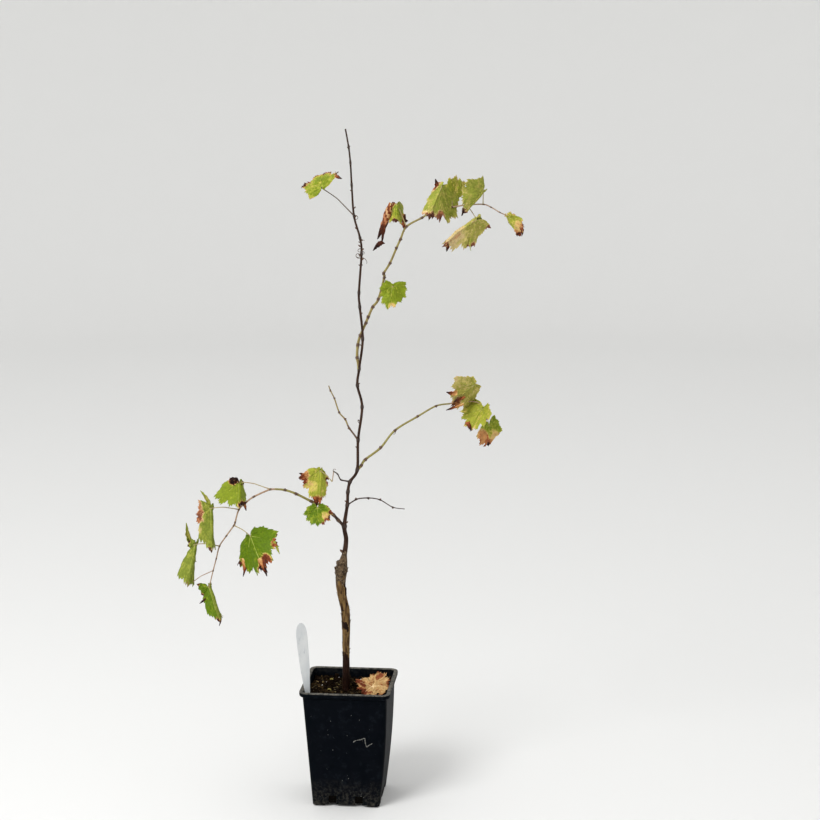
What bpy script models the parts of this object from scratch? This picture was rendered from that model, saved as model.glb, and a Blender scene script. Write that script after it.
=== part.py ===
# Young grafted grapevine in a square nursery pot: one upright stem, four side shoots and their few
# autumn leaves. Metres, +Z up. The origin is the middle of the pot's underside, the pot's front
# faces -Y. The vine stands in a plane of its own, turned a little from the pot's front.
import math
import random

import bmesh
import bpy
from mathutils import Matrix, Vector
from mathutils.bvhtree import BVHTree

MM = 0.001
CLEAR = 0.3                  # gap between touching pieces, mm
VINE_TURN = math.radians(5.5)

# Pot, mm. Half widths run from the middle to the outside of a wall.
POT_HEIGHT = 200.0
POT_WALL = 1.6
POT_BASE_HALF = 55.5
POT_TOP_HALF = 70.0
POT_BASE_ROUND = 9.0
POT_TOP_ROUND = 12.0
LIP_OUT = 5.0
LIP_DEEP = 9.0
LIP_ROUND = 1.2
FOOT_HIGH = 4.5
FOOT_WIDE = 15.0
FOOT_FROM_MIDDLE = 43.0
PAD_HALF = 10.0
SLOT_WIDE = 13.0
SLOT_HIGH = 15.0
SLOT_FROM_MIDDLE = 22.0
SLOT_INTO_FLOOR = 4.0
UNDER = 5.0                  # how far a cut starts below the underside
FLOOR_THICK = 2.0

# Soil, mm
SOIL_TOP = 184.0
SOIL_ROUGH = 2.2
SOIL_FLAT_ROUND_STEM = 16.0
SOIL_RINGS = (0.98, 0.8, 0.6, 0.4, 0.25)

# Plant tag, mm and degrees. Its widths are shares of TAG_WIDE, from the foot up to the round top.
TAG_LONG = 133.0
TAG_WIDE = 19.0
TAG_THICK = 0.8
TAG_WIDTHS = ((0, 0.34), (0.4, 0.62), (0.86, 1.0), (0.95, 0.86), (1.0, 0.4))
TAG_FOOT = (-61, -54)
TAG_LEANS = (-3.5, 3.0)
TAG_TURN = 28.0

# The stem, from the soil up: length mm, lean to the right and swing away in degrees.
STEM_FOOT = (-5.0, -4.0)
STEM = (
    (70, 0, 1), (59, 0, 2), (33, -10, 1), (22, -6, 0), (22, 3, 0), (24, 11, 0), (28, 7, 0), (23, -7, 0),
    (36, 8, 2), (22, 3, 0), (17, 12, 7), (24, 30, -8), (50, 2, -2), (55, 7, 0), (36, -12, 6),
    (27, 6, -4), (50, 7, -2), (52, -5, 3), (23, -3, -2), (63, 4, -1), (25, -5, 2), (37, -15, 0),
    (49, -4, 1), (35, -3, -1), (25, -6, -3), (29, -10, 4),
)
# Stem thickness: height and diameter, mm. The widest place is the graft.
STEM_THICK = (
    (181, 15.0), (190, 12.4), (250, 11.4), (300, 13.6), (355, 15.0), (376, 17.5), (392, 19.6), (404, 14.0),
    (416, 8.6), (440, 7.6), (470, 6.4), (500, 5.0), (620, 4.3), (800, 3.9), (1000, 3.1), (1108, 2.4),
)
STEM_NODES_FROM = 7          # the first stem joint that is swollen like a node
STEM_SWELL = 1.25
ROOT_FLARE = (6.0, 12.4)     # where the flare at the stem's foot ends: height above the soil, diameter

# Side shoots: the stem's joint where each leaves it, diameters at base and tip, and its internodes.
SHOOT_SWELL = 1.3
SHOOTS = {
    "bough_left": (8, 5.0, 3.2, (
        (16, -40, -17), (12, -40, -10), (22, -50, -2), (21, -64, -6), (28, -61, -8), (20, -68, -12),
        (17, -81, -14))),
    "bough_right_low": (12, 4.0, 2.6, (
        (9.5, 48, 27), (12, 34, 14), (32, 54, 15), (37, 41, 14), (44, 60, 13), (35, 62, 13), (24, 83, 15))),
    "bough_right_high": (16, 4.4, 3.0, (
        (18.5, -10, 19), (21, 3, 3), (16, 15, 0), (23, 23, -5), (11, 22, -11), (18, 24, -6), (16, 35, -11),
        (38, 15, -11), (7, -7, -14), (20, 31, -12), (27, 23, -10), (16, 24, -11), (23, 25, -11),
        (29, 59, -11), (18, 57, -11))),
    "shoot_left_short": (13, 3.0, 1.8, (
        (24, -38, 14), (16, -26, 15), (15, -42, 16), (24, -20, 12), (14, -27, 11), (9, -21, 14))),
    "twig_right_dry": (9, 2.4, 1.2, (
        (19.5, 53, -21), (21, 80, -14), (20, 96, -14), (24, 118, -12), (20, 96, -12))),
    "stub_left": (11, 2.6, 1.6, (
        (15.5, -75, -19), (12, -30, -5), (9, -54, -7))),
}

# Seats are found by moving a limb's end in from a distance, mm, towards the surface that carries it.
SEAT_FROM = 26.0
SEAT_STEPS = 60
SEAT_TURNS = 16
SEAT_DEPTHS = (0, 1, 2, 4)
REST_FROM = 30.0             # height that a loose piece is lowered from, mm
STRAIGHT_START = 1.6         # first stretch of a mass's stem, in line with the shoot's tip, mm
TWIG_SWELL = 1.25
PETIOLE_BOW = 0.06           # rise of a petiole's middle, as a share of its length
PETIOLE_TAPER = 0.8

# Foliage. Each mass grows from a carrier: a shoot's tip, or a joint along a shoot or the stem.
# stem: its own internodes. leaves: joint of that stem, petiole, midrib, roll, folds, droop, lobes.
# petiole and midrib: length mm, lean, swing. folds: left and right half, degrees below the upper
# face. droop: degrees, and the place along the midrib where it starts, as a share of its length.
# lobes: reach of the left rear, left side, right side and right rear lobes, as shares of the midrib,
# then how deep the edge is cut between them.
MASSES = {
    "foliage_stem_top": {"on": ("stem", 22), "thick": (1.9, 1.7), "stem": (), "leaves": (
        (0, (69, -48, -13), (44, -2, 37), -10, (13, -21), (34, 0.2), (0.6, 0.95, 0.8, 0.3, 0.1)),)},
    "foliage_bough_elbow": {"on": ("bough_right_high", 13), "thick": (2.0, 1.8), "stem": (), "leaves": (
        (0, (40, -25, 15), (38, 182, -45), 0, (74, 68), (3, 0.2), (0.9, 0.95, 1.7, 0.65, 0.05)),)},
    "foliage_bough_round": {"on": ("bough_right_high", 7), "thick": (1.9, 1.7), "stem": (), "leaves": (
        (0, (37, 45, -28), (37, 193, -23), -6, (12, 12), (9, 0.3), (0.65, 0.75, 0.6, 0.4, 0.05)),)},
    "foliage_right_high": {"on": ("bough_right_high", "tip"), "thick": (2.8, 1.5), "stem": (
        (16, 74, -6), (18, 79, -13), (23, 81, -10), (26, 87, -7), (13, 109, -8), (16, 120, -7),
        (11, 113, -11)),
        "leaves": (
            (1, (39, 1, -20), (66, -156, -34), 167, (-70, -48), (15, 0.55), (0.3, 0.35, 0.8, 0.35, 0.15)),
            (2, (18, -1, 19), (34, 47, 17), 11, (-15, 24), (76, 0.5), (0.3, 0.8, 0.45, 0.8, 0.05)),
            (4, (23, 1, -7), (54, -137, -35), -4, (155, -25), (21, 0.25), (0.35, 0.9, 0.75, 0.4, 0.2)),
            (3, (30, 145, -28), (76, -122, -21), 161, (-155, -14), (22, 0.45), (0.3, 0.75, 0.65, 0.45, 0.15)),
            (7, (5, 129, -15), (36, 150, 3), 30, (-17, 66), (20, 0.35), (0.4, 0.8, 0.75, 0.3, 0.1)),
        )},
    "foliage_right_low": {"on": ("bough_right_low", "tip"), "thick": (2.4, 1.4), "stem": (
        (24, 83, 12), (25, 97, 4), (20, 145, -8)), "leaves": (
            (1, (36, 27, -22), (51, -129, -11), 147, (0, -12), (11, 0.45), (0.3, 0.9, 1.05, 0.35, 0.15)),
            (2, (14, 146, -51), (45, -148, -34), 8, (-72, 53), (10, 0.35), (0.35, 1, 0.9, 0.45, 0.15)),
            (3, (21, 166, -30), (39, 169, -9), -34, (20, -12), (62, 0.4), (0.65, 0.85, 0.95, 0.3, 0.05)),
        )},
    "foliage_stub": {"on": ("stub_left", "tip"), "thick": (1.5, 1.5), "stem": ((18, -176, 3),), "leaves": (
        (1, (27, -49, 10), (54, -178, -24), -2, (58, -8), (20, 0.6), (0.2, 0.45, 0.7, 0.25, 0.15)),)},
    "foliage_fork": {"on": ("bough_left", 3), "thick": (1.8, 1.6), "stem": (), "leaves": (
        (0, (24, -62, -68), (31, 179, -28), 5, (4, 10), (4, 0.5), (0.35, 0.85, 0.8, 0.35, 0.1)),)},
    "foliage_left": {"on": ("bough_left", "tip"), "thick": (3.0, 1.6), "stem": (
        (7, -90, -14), (29, -112, -14), (16, -125, -11), (16, -134, -11), (22, -163, -8), (5, -158, -11),
        (21, -144, -8), (20, -146, -9), (21, -165, -8), (20, -165, -6), (25, -166, -5)),
        "leaves": (
            (1, (53, -74, -11), (45, 179, -38), 8, (92, 14), (2, 0.7), (0.25, 0.7, 1.05, 0.25, 0.05)),
            (4, (46, -88, 1), (75, 178, -36), 3, (119, -13), (6, 0.65), (0.2, 0.95, 0.35, 0.3, 0.15)),
            (8, (40, -86, 1), (66, -169, -22), 2, (103, 25), (3, 0.35), (0.3, 0.85, 0.35, 0.35, 0.15)),
            (11, (3, -157, -9), (59, 161, -25), 2, (131, 3), (6, 0.45), (0.3, 1.25, 0.3, 0.35, 0.15)),
            (6, (33, 119, -19), (67, 153, -34), 22, (10, 23), (6, 0.45), (0.25, 0.8, 0.9, 0.25, 0.05)),
        )},
}

# Leaf blade: directions of the tip, a side lobe, a rear lobe and the notch, as turns from the midrib.
LOBE_TURNS = (0, 58, 118, 163)
NOTCH_REACH = 0.19           # reach at the notch, as a share of the midrib
TOOTH_DEEP = 0.085
BLADE_THICK = 1.0
BLADE_TURNS = 27             # directions from one side of the notch round to the other
BLADE_RINGS = (0.48, 1.0)
FOLD_ROUND = 3.0             # radius of the fold along a midrib, mm
FOLD_EASE = 0.3              # share of the fold that is gone at the leaf's tip
DROOP_ROUND = 12.0
RIB_STATIONS = (0.12, 0.26, 0.42)   # shares of the midrib where the rib stands out of the blade
WAVE_HIGH = 0.05             # height of the blade's wave per midrib length
WAVE_FROM = 25               # turn from the midrib where the wave has its full height, degrees
TURN_CROWDING = 1.15         # above 1 the blade's directions crowd towards the midrib

# Dry leaf on the compost: place of its joint, slope and turn in degrees, midrib, folds, droop, lobes
FALLEN_LEAF = ((39.5, -8, 203), (23, -153), 35, (-16, -12), (6, 0.4), (0.7, 0.8, 0.8, 0.7, 0.2))
SEED = 7


def remove_everything():
    for item in list(bpy.data.objects):
        bpy.data.objects.remove(item, do_unlink=True)
    for group in list(bpy.data.collections):
        bpy.data.collections.remove(group)


def make_collection(name):
    group = bpy.data.collections.new(name)
    bpy.context.scene.collection.children.link(group)
    return group


def make_material(name, color, roughness):
    material = bpy.data.materials.new(name)
    material.use_nodes = True
    shader = material.node_tree.nodes["Principled BSDF"]
    shader.inputs["Base Color"].default_value = (*color, 1.0)
    shader.inputs["Roughness"].default_value = roughness
    shader.inputs["Metallic"].default_value = 0.0
    return material


def make_materials():
    return {
        "pot": make_material("black_plastic", (0.018, 0.02, 0.025), 0.45),
        "soil": make_material("dark_compost", (0.035, 0.025, 0.018), 0.95),
        "bark": make_material("brown_bark", (0.09, 0.055, 0.035), 0.85),
        "shoot": make_material("olive_shoot", (0.24, 0.23, 0.09), 0.6),
        "dry": make_material("dry_twig", (0.11, 0.05, 0.03), 0.8),
        "leaf": make_material("vine_leaf", (0.27, 0.4, 0.07), 0.55),
        "fallen": make_material("fallen_leaf", (0.58, 0.32, 0.16), 0.8),
        "tag": make_material("white_tag", (0.78, 0.8, 0.82), 0.4),
    }


# Directions and places in the vine's plane


def vine_direction(right, away, up):
    return Matrix.Rotation(VINE_TURN, 3, "Z") @ Vector((right, away, up))


def vine_point(right, away, up):
    return vine_direction(right, away, up) * MM


def heading(lean, swing):
    lean, swing = math.radians(lean), math.radians(swing)
    flat = math.cos(swing)
    return vine_direction(math.sin(lean) * flat, math.sin(swing), math.cos(lean) * flat)


def follow(start, internodes):
    points = [start]
    for length, lean, swing in internodes:
        points.append(points[-1] + heading(lean, swing) * length * MM)
    return points


def between(table, value):
    for (low, low_value), (high, high_value) in zip(table, table[1:]):
        if value <= high:
            share = max(0.0, (value - low) / (high - low))
            return low_value + (high_value - low_value) * share
    return table[-1][1]


# Limbs


def smooth_middle(points, index):
    """Middle of one internode, bowed a little towards the curve through its neighbours."""
    here, there = points[index], points[index + 1]
    if index == 0:
        return (here + there) / 2
    before = points[index - 1]
    after = points[min(index + 2, len(points) - 1)]
    return (here + there) * 0.5625 - (before + after) * 0.0625


def limb_path(points, radii, swell):
    """Path points and radii with a swollen joint at every node and a slim middle between."""
    path = []
    last = len(points) - 1
    for index, point in enumerate(points):
        swollen = swell if 0 < index < last else 1.0
        path.append((point, radii[index] * swollen))
        if index < last:
            path.append((smooth_middle(points, index), (radii[index] + radii[index + 1]) / 2))
    return path


def even_radii(points, thick, thin):
    lengths = [0.0]
    for one, two in zip(points, points[1:]):
        lengths.append(lengths[-1] + (two - one).length)
    return [(thick + (thin - thick) * run / lengths[-1]) / 2 * MM for run in lengths]


def tube_curve(name, path, sides):
    """Curve object along a path of (point, radius), with filled caps."""
    curve = bpy.data.curves.new(name, "CURVE")
    curve.dimensions = "3D"
    curve.bevel_depth = 1.0
    curve.bevel_resolution = sides
    curve.use_fill_caps = True
    curve.resolution_u = 1
    curve.render_resolution_u = 0
    spline = curve.splines.new("POLY")
    spline.points.add(len(path) - 1)
    for item, (point, radius) in zip(spline.points, path):
        item.co = (*point, 1.0)
        item.radius = radius
    return bpy.data.objects.new(name, curve)


def tube_mesh(name, path, sides, group):
    """The same tube as one closed mesh object."""
    guide = tube_curve(name + "_guide", path, sides)
    group.objects.link(guide)
    bpy.context.view_layer.update()
    graph = bpy.context.evaluated_depsgraph_get()
    mesh = bpy.data.meshes.new_from_object(guide.evaluated_get(graph))
    body = bpy.data.objects.new(name, mesh)
    body.matrix_world = guide.matrix_world
    group.objects.link(body)
    bpy.data.objects.remove(guide, do_unlink=True)
    clean_mesh(mesh)
    return body


def clean_mesh(mesh):
    model = bmesh.new()
    model.from_mesh(mesh)
    bmesh.ops.remove_doubles(model, verts=model.verts, dist=0.00001)
    bmesh.ops.recalc_face_normals(model, faces=model.faces)
    model.to_mesh(mesh)
    model.free()
    shade(mesh)


def shade(mesh):
    mesh.shade_smooth()
    mesh.set_sharp_from_angle(angle=math.radians(50))


def surface_of(body):
    return BVHTree.FromPolygons([vert.co for vert in body.data.vertices],
                                [face.vertices for face in body.data.polygons])


def end_samples(way, radius):
    """Points on the end and the first stretch of a round limb that starts at zero."""
    across = way.orthogonal().normalized() * radius
    other = way.cross(across)
    samples = []
    for step in range(SEAT_TURNS):
        turn = 2 * math.pi * step / SEAT_TURNS
        rim = across * math.cos(turn) + other * math.sin(turn)
        samples += [rim * 0.5] + [rim + way * depth * MM for depth in SEAT_DEPTHS]
    return samples


def seat(carrier, joint, aim, radius):
    """Start of a limb that leaves a carrier's joint towards a point, just clear of its surface."""
    middle = carrier["points"][joint]
    way = (aim - middle).normalized()
    samples = end_samples(way, radius)
    run = SEAT_FROM * MM
    for _ in range(SEAT_STEPS):
        start = middle + way * run
        gap = min(carrier["surface"].find_nearest(start + sample)[3] for sample in samples)
        run -= gap - CLEAR * MM
    return middle + way * run


def make_stem(group, material):
    points = follow(vine_point(*STEM_FOOT, SOIL_TOP + CLEAR), STEM)
    radii = [between(STEM_THICK, point.z / MM) / 2 * MM for point in points]
    path = []
    for index, point in enumerate(points):
        swell = STEM_SWELL if STEM_NODES_FROM < index < len(points) - 1 else 1.0
        path.append((point, radii[index] * swell))
        if index < len(points) - 1:
            middle = smooth_middle(points, index)
            path.append((middle, between(STEM_THICK, middle.z / MM) / 2 * MM))
    flare_high, flare_thick = ROOT_FLARE
    path.insert(1, (points[0] + Vector((0, 0, flare_high * MM)), flare_thick / 2 * MM))
    body = tube_mesh("stem", path, 3, group)
    body.data.materials.append(material)
    return {"points": points, "surface": surface_of(body)}


def make_shoot(name, spec, stem, group, material):
    joint, thick, thin, internodes = spec
    points = follow(stem["points"][joint], internodes)
    points[0] = seat(stem, joint, points[1], thick / 2 * MM)
    radii = even_radii(points, thick, thin)
    path = limb_path(points, radii, SHOOT_SWELL)
    body = tube_mesh(name, path, 2, group)
    body.data.materials.append(material)
    way_out = (path[-1][0] - path[-2][0]).normalized()
    return {"points": points, "surface": surface_of(body), "way_out": way_out}


# Leaves


def reach_at(turn, lobes):
    """Reach of the blade's edge in one direction, as a share of the midrib."""
    size = abs(turn)
    side, rear = (lobes[1], lobes[0]) if turn < 0 else (lobes[2], lobes[3])
    reaches = (1.0, side, rear, NOTCH_REACH)
    stations = list(zip(LOBE_TURNS, reaches))
    for (low, low_reach), (high, high_reach) in zip(stations, stations[1:]):
        if size <= high:
            share = (size - low) / (high - low)
            dip = 1 - lobes[4] * math.sin(math.pi * share) ** 1.5
            ease = share * share * (3 - 2 * share)
            return (low_reach + (high_reach - low_reach) * ease) * dip
    return NOTCH_REACH


def bend_strip(run, degrees, round_off):
    """Where a strip bent through an arc lands: distance along and depth below its start."""
    sweep = math.radians(abs(degrees))
    arc = round_off * sweep
    if run <= 0 or sweep == 0:
        return run, 0.0
    if run < arc:
        angle = run / round_off
        along, below = round_off * math.sin(angle), round_off * (1 - math.cos(angle))
    else:
        rest = run - arc
        along = round_off * math.sin(sweep) + rest * math.cos(sweep)
        below = round_off * (1 - math.cos(sweep)) + rest * math.sin(sweep)
    return along, math.copysign(below, degrees)


def bend_blade(side, along, lift, leaf):
    """Fold a flat blade point about the midrib, then let the blade droop across it."""
    fold = leaf["folds"][0] if side < 0 else leaf["folds"][1]
    fold *= 1 - FOLD_EASE * min(1.0, max(0.0, along / leaf["length"]))
    out, below = bend_strip(abs(side), fold, FOLD_ROUND)
    lift -= below
    droop, place = leaf["droop"]
    start = place * leaf["length"]
    run, drop = bend_strip(along - start, droop, DROOP_ROUND)
    angle = math.radians(droop) * min(1.0, max(0.0, (along - start) / (DROOP_ROUND * math.radians(droop))))
    place_along = start + run + lift * math.sin(angle)
    place_up = -drop + lift * math.cos(angle)
    return Vector((out if side >= 0 else -out, place_along, place_up)) * MM


def leaf_matrix(joint, lean, swing, roll):
    """Frame of a leaf: X across, Y along the midrib, Z out of the upper face."""
    rib = heading(lean, swing)
    viewer = vine_direction(0, -1, 0)
    upper = (viewer - rib * viewer.dot(rib)).normalized()
    upper.rotate(Matrix.Rotation(math.radians(roll), 3, rib))
    across = rib.cross(upper)
    frame = Matrix((across, rib, upper)).transposed().to_4x4()
    frame.translation = joint
    return frame


def blade_turns():
    """Directions round the blade, closer together near the midrib."""
    half = BLADE_TURNS // 2
    shares = [math.copysign((abs(step) / half) ** TURN_CROWDING, step) for step in range(-half, half + 1)]
    return [LOBE_TURNS[-1] * share for share in shares]


def blade_teeth(rng):
    """How far each point of the edge stands out or in, as a share of its reach."""
    return [TOOTH_DEEP * (1 if index % 2 else -1) * rng.uniform(0.6, 1.2) for index in range(BLADE_TURNS)]


def make_blade(name, frame, leaf, rng, group):
    """Blade as rings round the petiole's joint, thickened by Solidify."""
    model = bmesh.new()
    phase = rng.uniform(0, 2 * math.pi)
    teeth = blade_teeth(rng)
    middle = model.verts.new(frame @ bend_blade(0, 0, 0, leaf))
    rings = []
    for ring in BLADE_RINGS:
        verts = []
        for turn, tooth in zip(blade_turns(), teeth):
            reach = leaf["length"] * ring * reach_at(turn, leaf["lobes"])
            if ring == 1.0:
                reach *= 1 + tooth
            angle = math.radians(turn)
            wave = WAVE_HIGH * leaf["length"] * ring * math.sin(angle * 4 + phase)
            wave *= min(1, abs(turn) / WAVE_FROM)
            point = bend_blade(reach * math.sin(angle), reach * math.cos(angle), wave, leaf)
            verts.append(model.verts.new(frame @ point))
        rings.append(verts)
    for one, two in zip(rings[0], rings[0][1:]):
        model.faces.new((middle, two, one))
    for inner, outer in zip(rings, rings[1:]):
        for index in range(len(inner) - 1):
            model.faces.new((inner[index], inner[index + 1], outer[index + 1], outer[index]))
    bmesh.ops.triangulate(model, faces=model.faces)
    bmesh.ops.recalc_face_normals(model, faces=model.faces)
    mesh = bpy.data.meshes.new(name)
    model.to_mesh(mesh)
    model.free()
    blade = bpy.data.objects.new(name, mesh)
    group.objects.link(blade)
    shell = blade.modifiers.new("thickness", "SOLIDIFY")
    shell.thickness = BLADE_THICK * MM
    shell.offset = 0.0
    apply_modifiers(blade)
    return blade


def apply_modifiers(body):
    bpy.context.view_layer.update()
    graph = bpy.context.evaluated_depsgraph_get()
    mesh = bpy.data.meshes.new_from_object(body.evaluated_get(graph))
    body.modifiers.clear()
    body.data = mesh


def petiole_points(start, spec):
    """A petiole rises in a shallow bow and ends at the blade's joint."""
    length, lean, swing = spec
    direction = heading(lean, swing)
    lift = Vector((0, 0, 1)) * length * PETIOLE_BOW * MM
    middle = start + direction * length * 0.5 * MM + lift
    return [start, middle, start + direction * length * MM]


def rib_points(frame, leaf):
    """The raised first stretch of the midrib, sunk into the blade."""
    return [frame @ bend_blade(0, leaf["length"] * share, 0, leaf) for share in RIB_STATIONS]


def make_leaf(name, points, spec, thick, rng, group):
    rib, roll, folds, droop, lobes = spec
    frame = leaf_matrix(points[-1], rib[1], rib[2], roll)
    leaf = {"length": rib[0], "folds": folds, "droop": droop, "lobes": lobes}
    blade = make_blade(name + "_blade", frame, leaf, rng, group)
    points = points + rib_points(frame, leaf)
    path = list(zip(points, even_radii(points, thick, thick * PETIOLE_TAPER)))
    stalk = tube_mesh(name + "_stalk", path, 1, group)
    return [blade, stalk]


def is_closed(mesh):
    model = bmesh.new()
    model.from_mesh(mesh)
    closed = all(edge.is_manifold for edge in model.edges)
    model.free()
    return closed


def join_pieces(name, pieces, group, loose):
    """One body from all the pieces of a mass, by one union on their collection."""
    base = pieces[0].data.copy()
    body = bpy.data.objects.new(name, base)
    group.objects.link(body)
    bpy.data.objects.remove(pieces[0], do_unlink=True)
    for solver in ("EXACT", "MANIFOLD"):
        body.data = base
        union = body.modifiers.new("union", "BOOLEAN")
        union.operation = "UNION"
        union.operand_type = "COLLECTION"
        union.collection = loose
        union.solver = solver
        apply_modifiers(body)
        keep_largest(body.data)
        if is_closed(body.data):
            break
    for item in list(loose.objects):
        bpy.data.objects.remove(item, do_unlink=True)
    shade(body.data)
    return body


def keep_largest(mesh):
    """Drop any loose scrap that the union left beside the main body."""
    model = bmesh.new()
    model.from_mesh(mesh)
    left = set(model.verts)
    islands = []
    while left:
        reached = [left.pop()]
        island = []
        while reached:
            vert = reached.pop()
            island.append(vert)
            for edge in vert.link_edges:
                other = edge.other_vert(vert)
                if other in left:
                    left.remove(other)
                    reached.append(other)
        islands.append(island)
    islands.sort(key=len)
    for island in islands[:-1]:
        bmesh.ops.delete(model, geom=island, context="VERTS")
    model.to_mesh(mesh)
    model.free()


def make_mass(name, spec, limbs, group, loose, material, seed):
    rng = random.Random(seed)
    carrier_name, place = spec["on"]
    carrier = limbs[carrier_name]
    thick, thin = spec["thick"]
    pieces = []
    if place == "tip":
        start = carrier["points"][-1] + carrier["way_out"] * CLEAR * MM
        points = follow(start, spec["stem"])
        path = limb_path(points, even_radii(points, thick, thin), TWIG_SWELL)
        path.insert(1, (start + carrier["way_out"] * STRAIGHT_START * MM, thick / 2 * MM))
        pieces.append(tube_mesh(name + "_stem", path, 2, loose))
    else:
        points = [carrier["points"][place]]
    for index, (joint, petiole, *leaf) in enumerate(spec["leaves"]):
        stalk = petiole_points(points[joint], petiole)
        if place != "tip":
            stalk[0] = seat(carrier, place, stalk[1], thin / 2 * MM)
        pieces += make_leaf(f"{name}_{index}", stalk, leaf, thin, rng, loose)
    body = join_pieces(name, pieces, group, loose)
    body.data.materials.clear()
    body.data.materials.append(material)
    return body


# Pot, soil, tag and fallen leaf


def rounded_square(half, corner, height, points_each=4):
    points = []
    for quarter in range(4):
        facing = math.pi / 2 * quarter
        middle = Vector((half - corner, half - corner, 0))
        middle.rotate(Matrix.Rotation(facing, 3, "Z"))
        for step in range(points_each):
            angle = facing + math.pi / 2 * step / (points_each - 1)
            points.append(middle + Vector((math.cos(angle), math.sin(angle), 0)) * corner)
    return [(point + Vector((0, 0, height))) * MM for point in points]


def loft_mesh(name, sections, group):
    """Loft through sections that have the same number of points, closed at both ends."""
    model = bmesh.new()
    rings = [[model.verts.new(point) for point in section] for section in sections]
    for low, high in zip(rings, rings[1:]):
        for index in range(len(low)):
            after = (index + 1) % len(low)
            model.faces.new((low[index], low[after], high[after], high[index]))
    model.faces.new(rings[0][::-1])
    model.faces.new(rings[-1])
    bmesh.ops.recalc_face_normals(model, faces=model.faces)
    mesh = bpy.data.meshes.new(name)
    model.to_mesh(mesh)
    model.free()
    body = bpy.data.objects.new(name, mesh)
    group.objects.link(body)
    return body


def wall_half(height):
    """Outside half width of the pot's wall at a height."""
    return POT_BASE_HALF + (POT_TOP_HALF - POT_BASE_HALF) * height / POT_HEIGHT


def wall_round(height):
    return POT_BASE_ROUND + (POT_TOP_ROUND - POT_BASE_ROUND) * height / POT_HEIGHT


def pot_section(height, out=0.0):
    return rounded_square(wall_half(height) + out, wall_round(height) + out, height)


def box_cutter(name, low, high, group):
    bpy.ops.mesh.primitive_cube_add(size=1)
    box = bpy.context.object
    box.name = name
    for vert in box.data.vertices:
        for axis in range(3):
            vert.co[axis] = (low[axis] if vert.co[axis] < 0 else high[axis]) * MM
    for owner in list(box.users_collection):
        owner.objects.unlink(box)
    group.objects.link(box)
    box.hide_render = True
    box.display_type = "WIRE"
    return box


def cut_away(body, cutter):
    cut = body.modifiers.new(cutter.name, "BOOLEAN")
    cut.operation = "DIFFERENCE"
    cut.solver = "EXACT"
    cut.object = cutter


def make_pot(group, cutters, material):
    lip_low = POT_HEIGHT - LIP_DEEP
    sections = [
        pot_section(0), pot_section(lip_low),
        pot_section(lip_low + LIP_ROUND, LIP_OUT - LIP_ROUND), pot_section(lip_low + LIP_ROUND * 2, LIP_OUT),
        pot_section(POT_HEIGHT - LIP_ROUND, LIP_OUT), pot_section(POT_HEIGHT, LIP_OUT - LIP_ROUND),
        pot_section(POT_HEIGHT, LIP_ROUND - POT_WALL), pot_section(POT_HEIGHT - LIP_ROUND, -POT_WALL),
        pot_section(FOOT_HIGH + FLOOR_THICK, -POT_WALL),
    ]
    pot = loft_mesh("pot", sections, group)
    for number, (low, high) in enumerate(foot_gaps() + drain_slots(), 1):
        cut_away(pot, box_cutter(f"pot_cut_{number}", low, high, cutters))
    pot.data.materials.append(material)
    return pot


def both_ways(low, high):
    """A box, and the same box turned to the pot's other pair of walls."""
    return [(low, high), ((low[1], low[0], low[2]), (high[1], high[0], high[2]))]


def foot_gaps():
    """Boxes that leave four corner feet and a small middle pad under the pot."""
    reach = POT_TOP_HALF * 2
    foot_in, foot_out = FOOT_FROM_MIDDLE - FOOT_WIDE / 2, FOOT_FROM_MIDDLE + FOOT_WIDE / 2
    boxes = []
    for side in (-1, 1):
        near, far = sorted((side * PAD_HALF, side * foot_in))
        boxes += both_ways((-reach, near, -UNDER), (reach, far, FOOT_HIGH))
        near, far = sorted((side * foot_out, side * reach))
        boxes += both_ways((-reach, near, -UNDER), (reach, far, FOOT_HIGH / 2))
        near, far = sorted((side * PAD_HALF, side * reach))
        boxes += both_ways((-PAD_HALF - 1, near, -UNDER), (PAD_HALF + 1, far, FOOT_HIGH))
    return boxes


def drain_slots():
    """Boxes for two slots low in each wall, which run a little into the floor."""
    inner, outer = POT_BASE_HALF - POT_WALL - SLOT_INTO_FLOOR, POT_TOP_HALF * 2
    boxes = []
    for side in (-1, 1):
        middle = side * SLOT_FROM_MIDDLE
        low, high = middle - SLOT_WIDE / 2, middle + SLOT_WIDE / 2
        for face in (-1, 1):
            near, far = sorted((face * inner, face * outer))
            boxes += both_ways((low, near, -UNDER), (high, far, FOOT_HIGH + SLOT_HIGH))
    return boxes


def soil_height(x, y, rng):
    stem_x, stem_y = vine_point(*STEM_FOOT, 0).xy / MM
    near = math.hypot(x - stem_x, y - stem_y)
    rough = rng.uniform(-SOIL_ROUGH, SOIL_ROUGH * 0.4)
    return SOIL_TOP + rough * min(1.0, max(0.0, (near - SOIL_FLAT_ROUND_STEM) / 12))


def make_soil(group, material, rng):
    """Compost that fills the pot, with a rough top that is level round the stem."""
    low = FOOT_HIGH + FLOOR_THICK + CLEAR
    inside = -POT_WALL - CLEAR
    above_slots = FOOT_HIGH + SLOT_HIGH + 1
    sections = [pot_section(low, inside), pot_section(above_slots, inside), pot_section(SOIL_TOP - 5, inside)]
    for share in SOIL_RINGS:
        ring = []
        for point in pot_section(SOIL_TOP - 1, inside):
            x, y = point.x * share / MM, point.y * share / MM
            ring.append(Vector((x, y, soil_height(x, y, rng))) * MM)
        sections.append(ring)
    soil = loft_mesh("soil", sections, group)
    soil.data.materials.append(material)
    return soil


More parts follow.
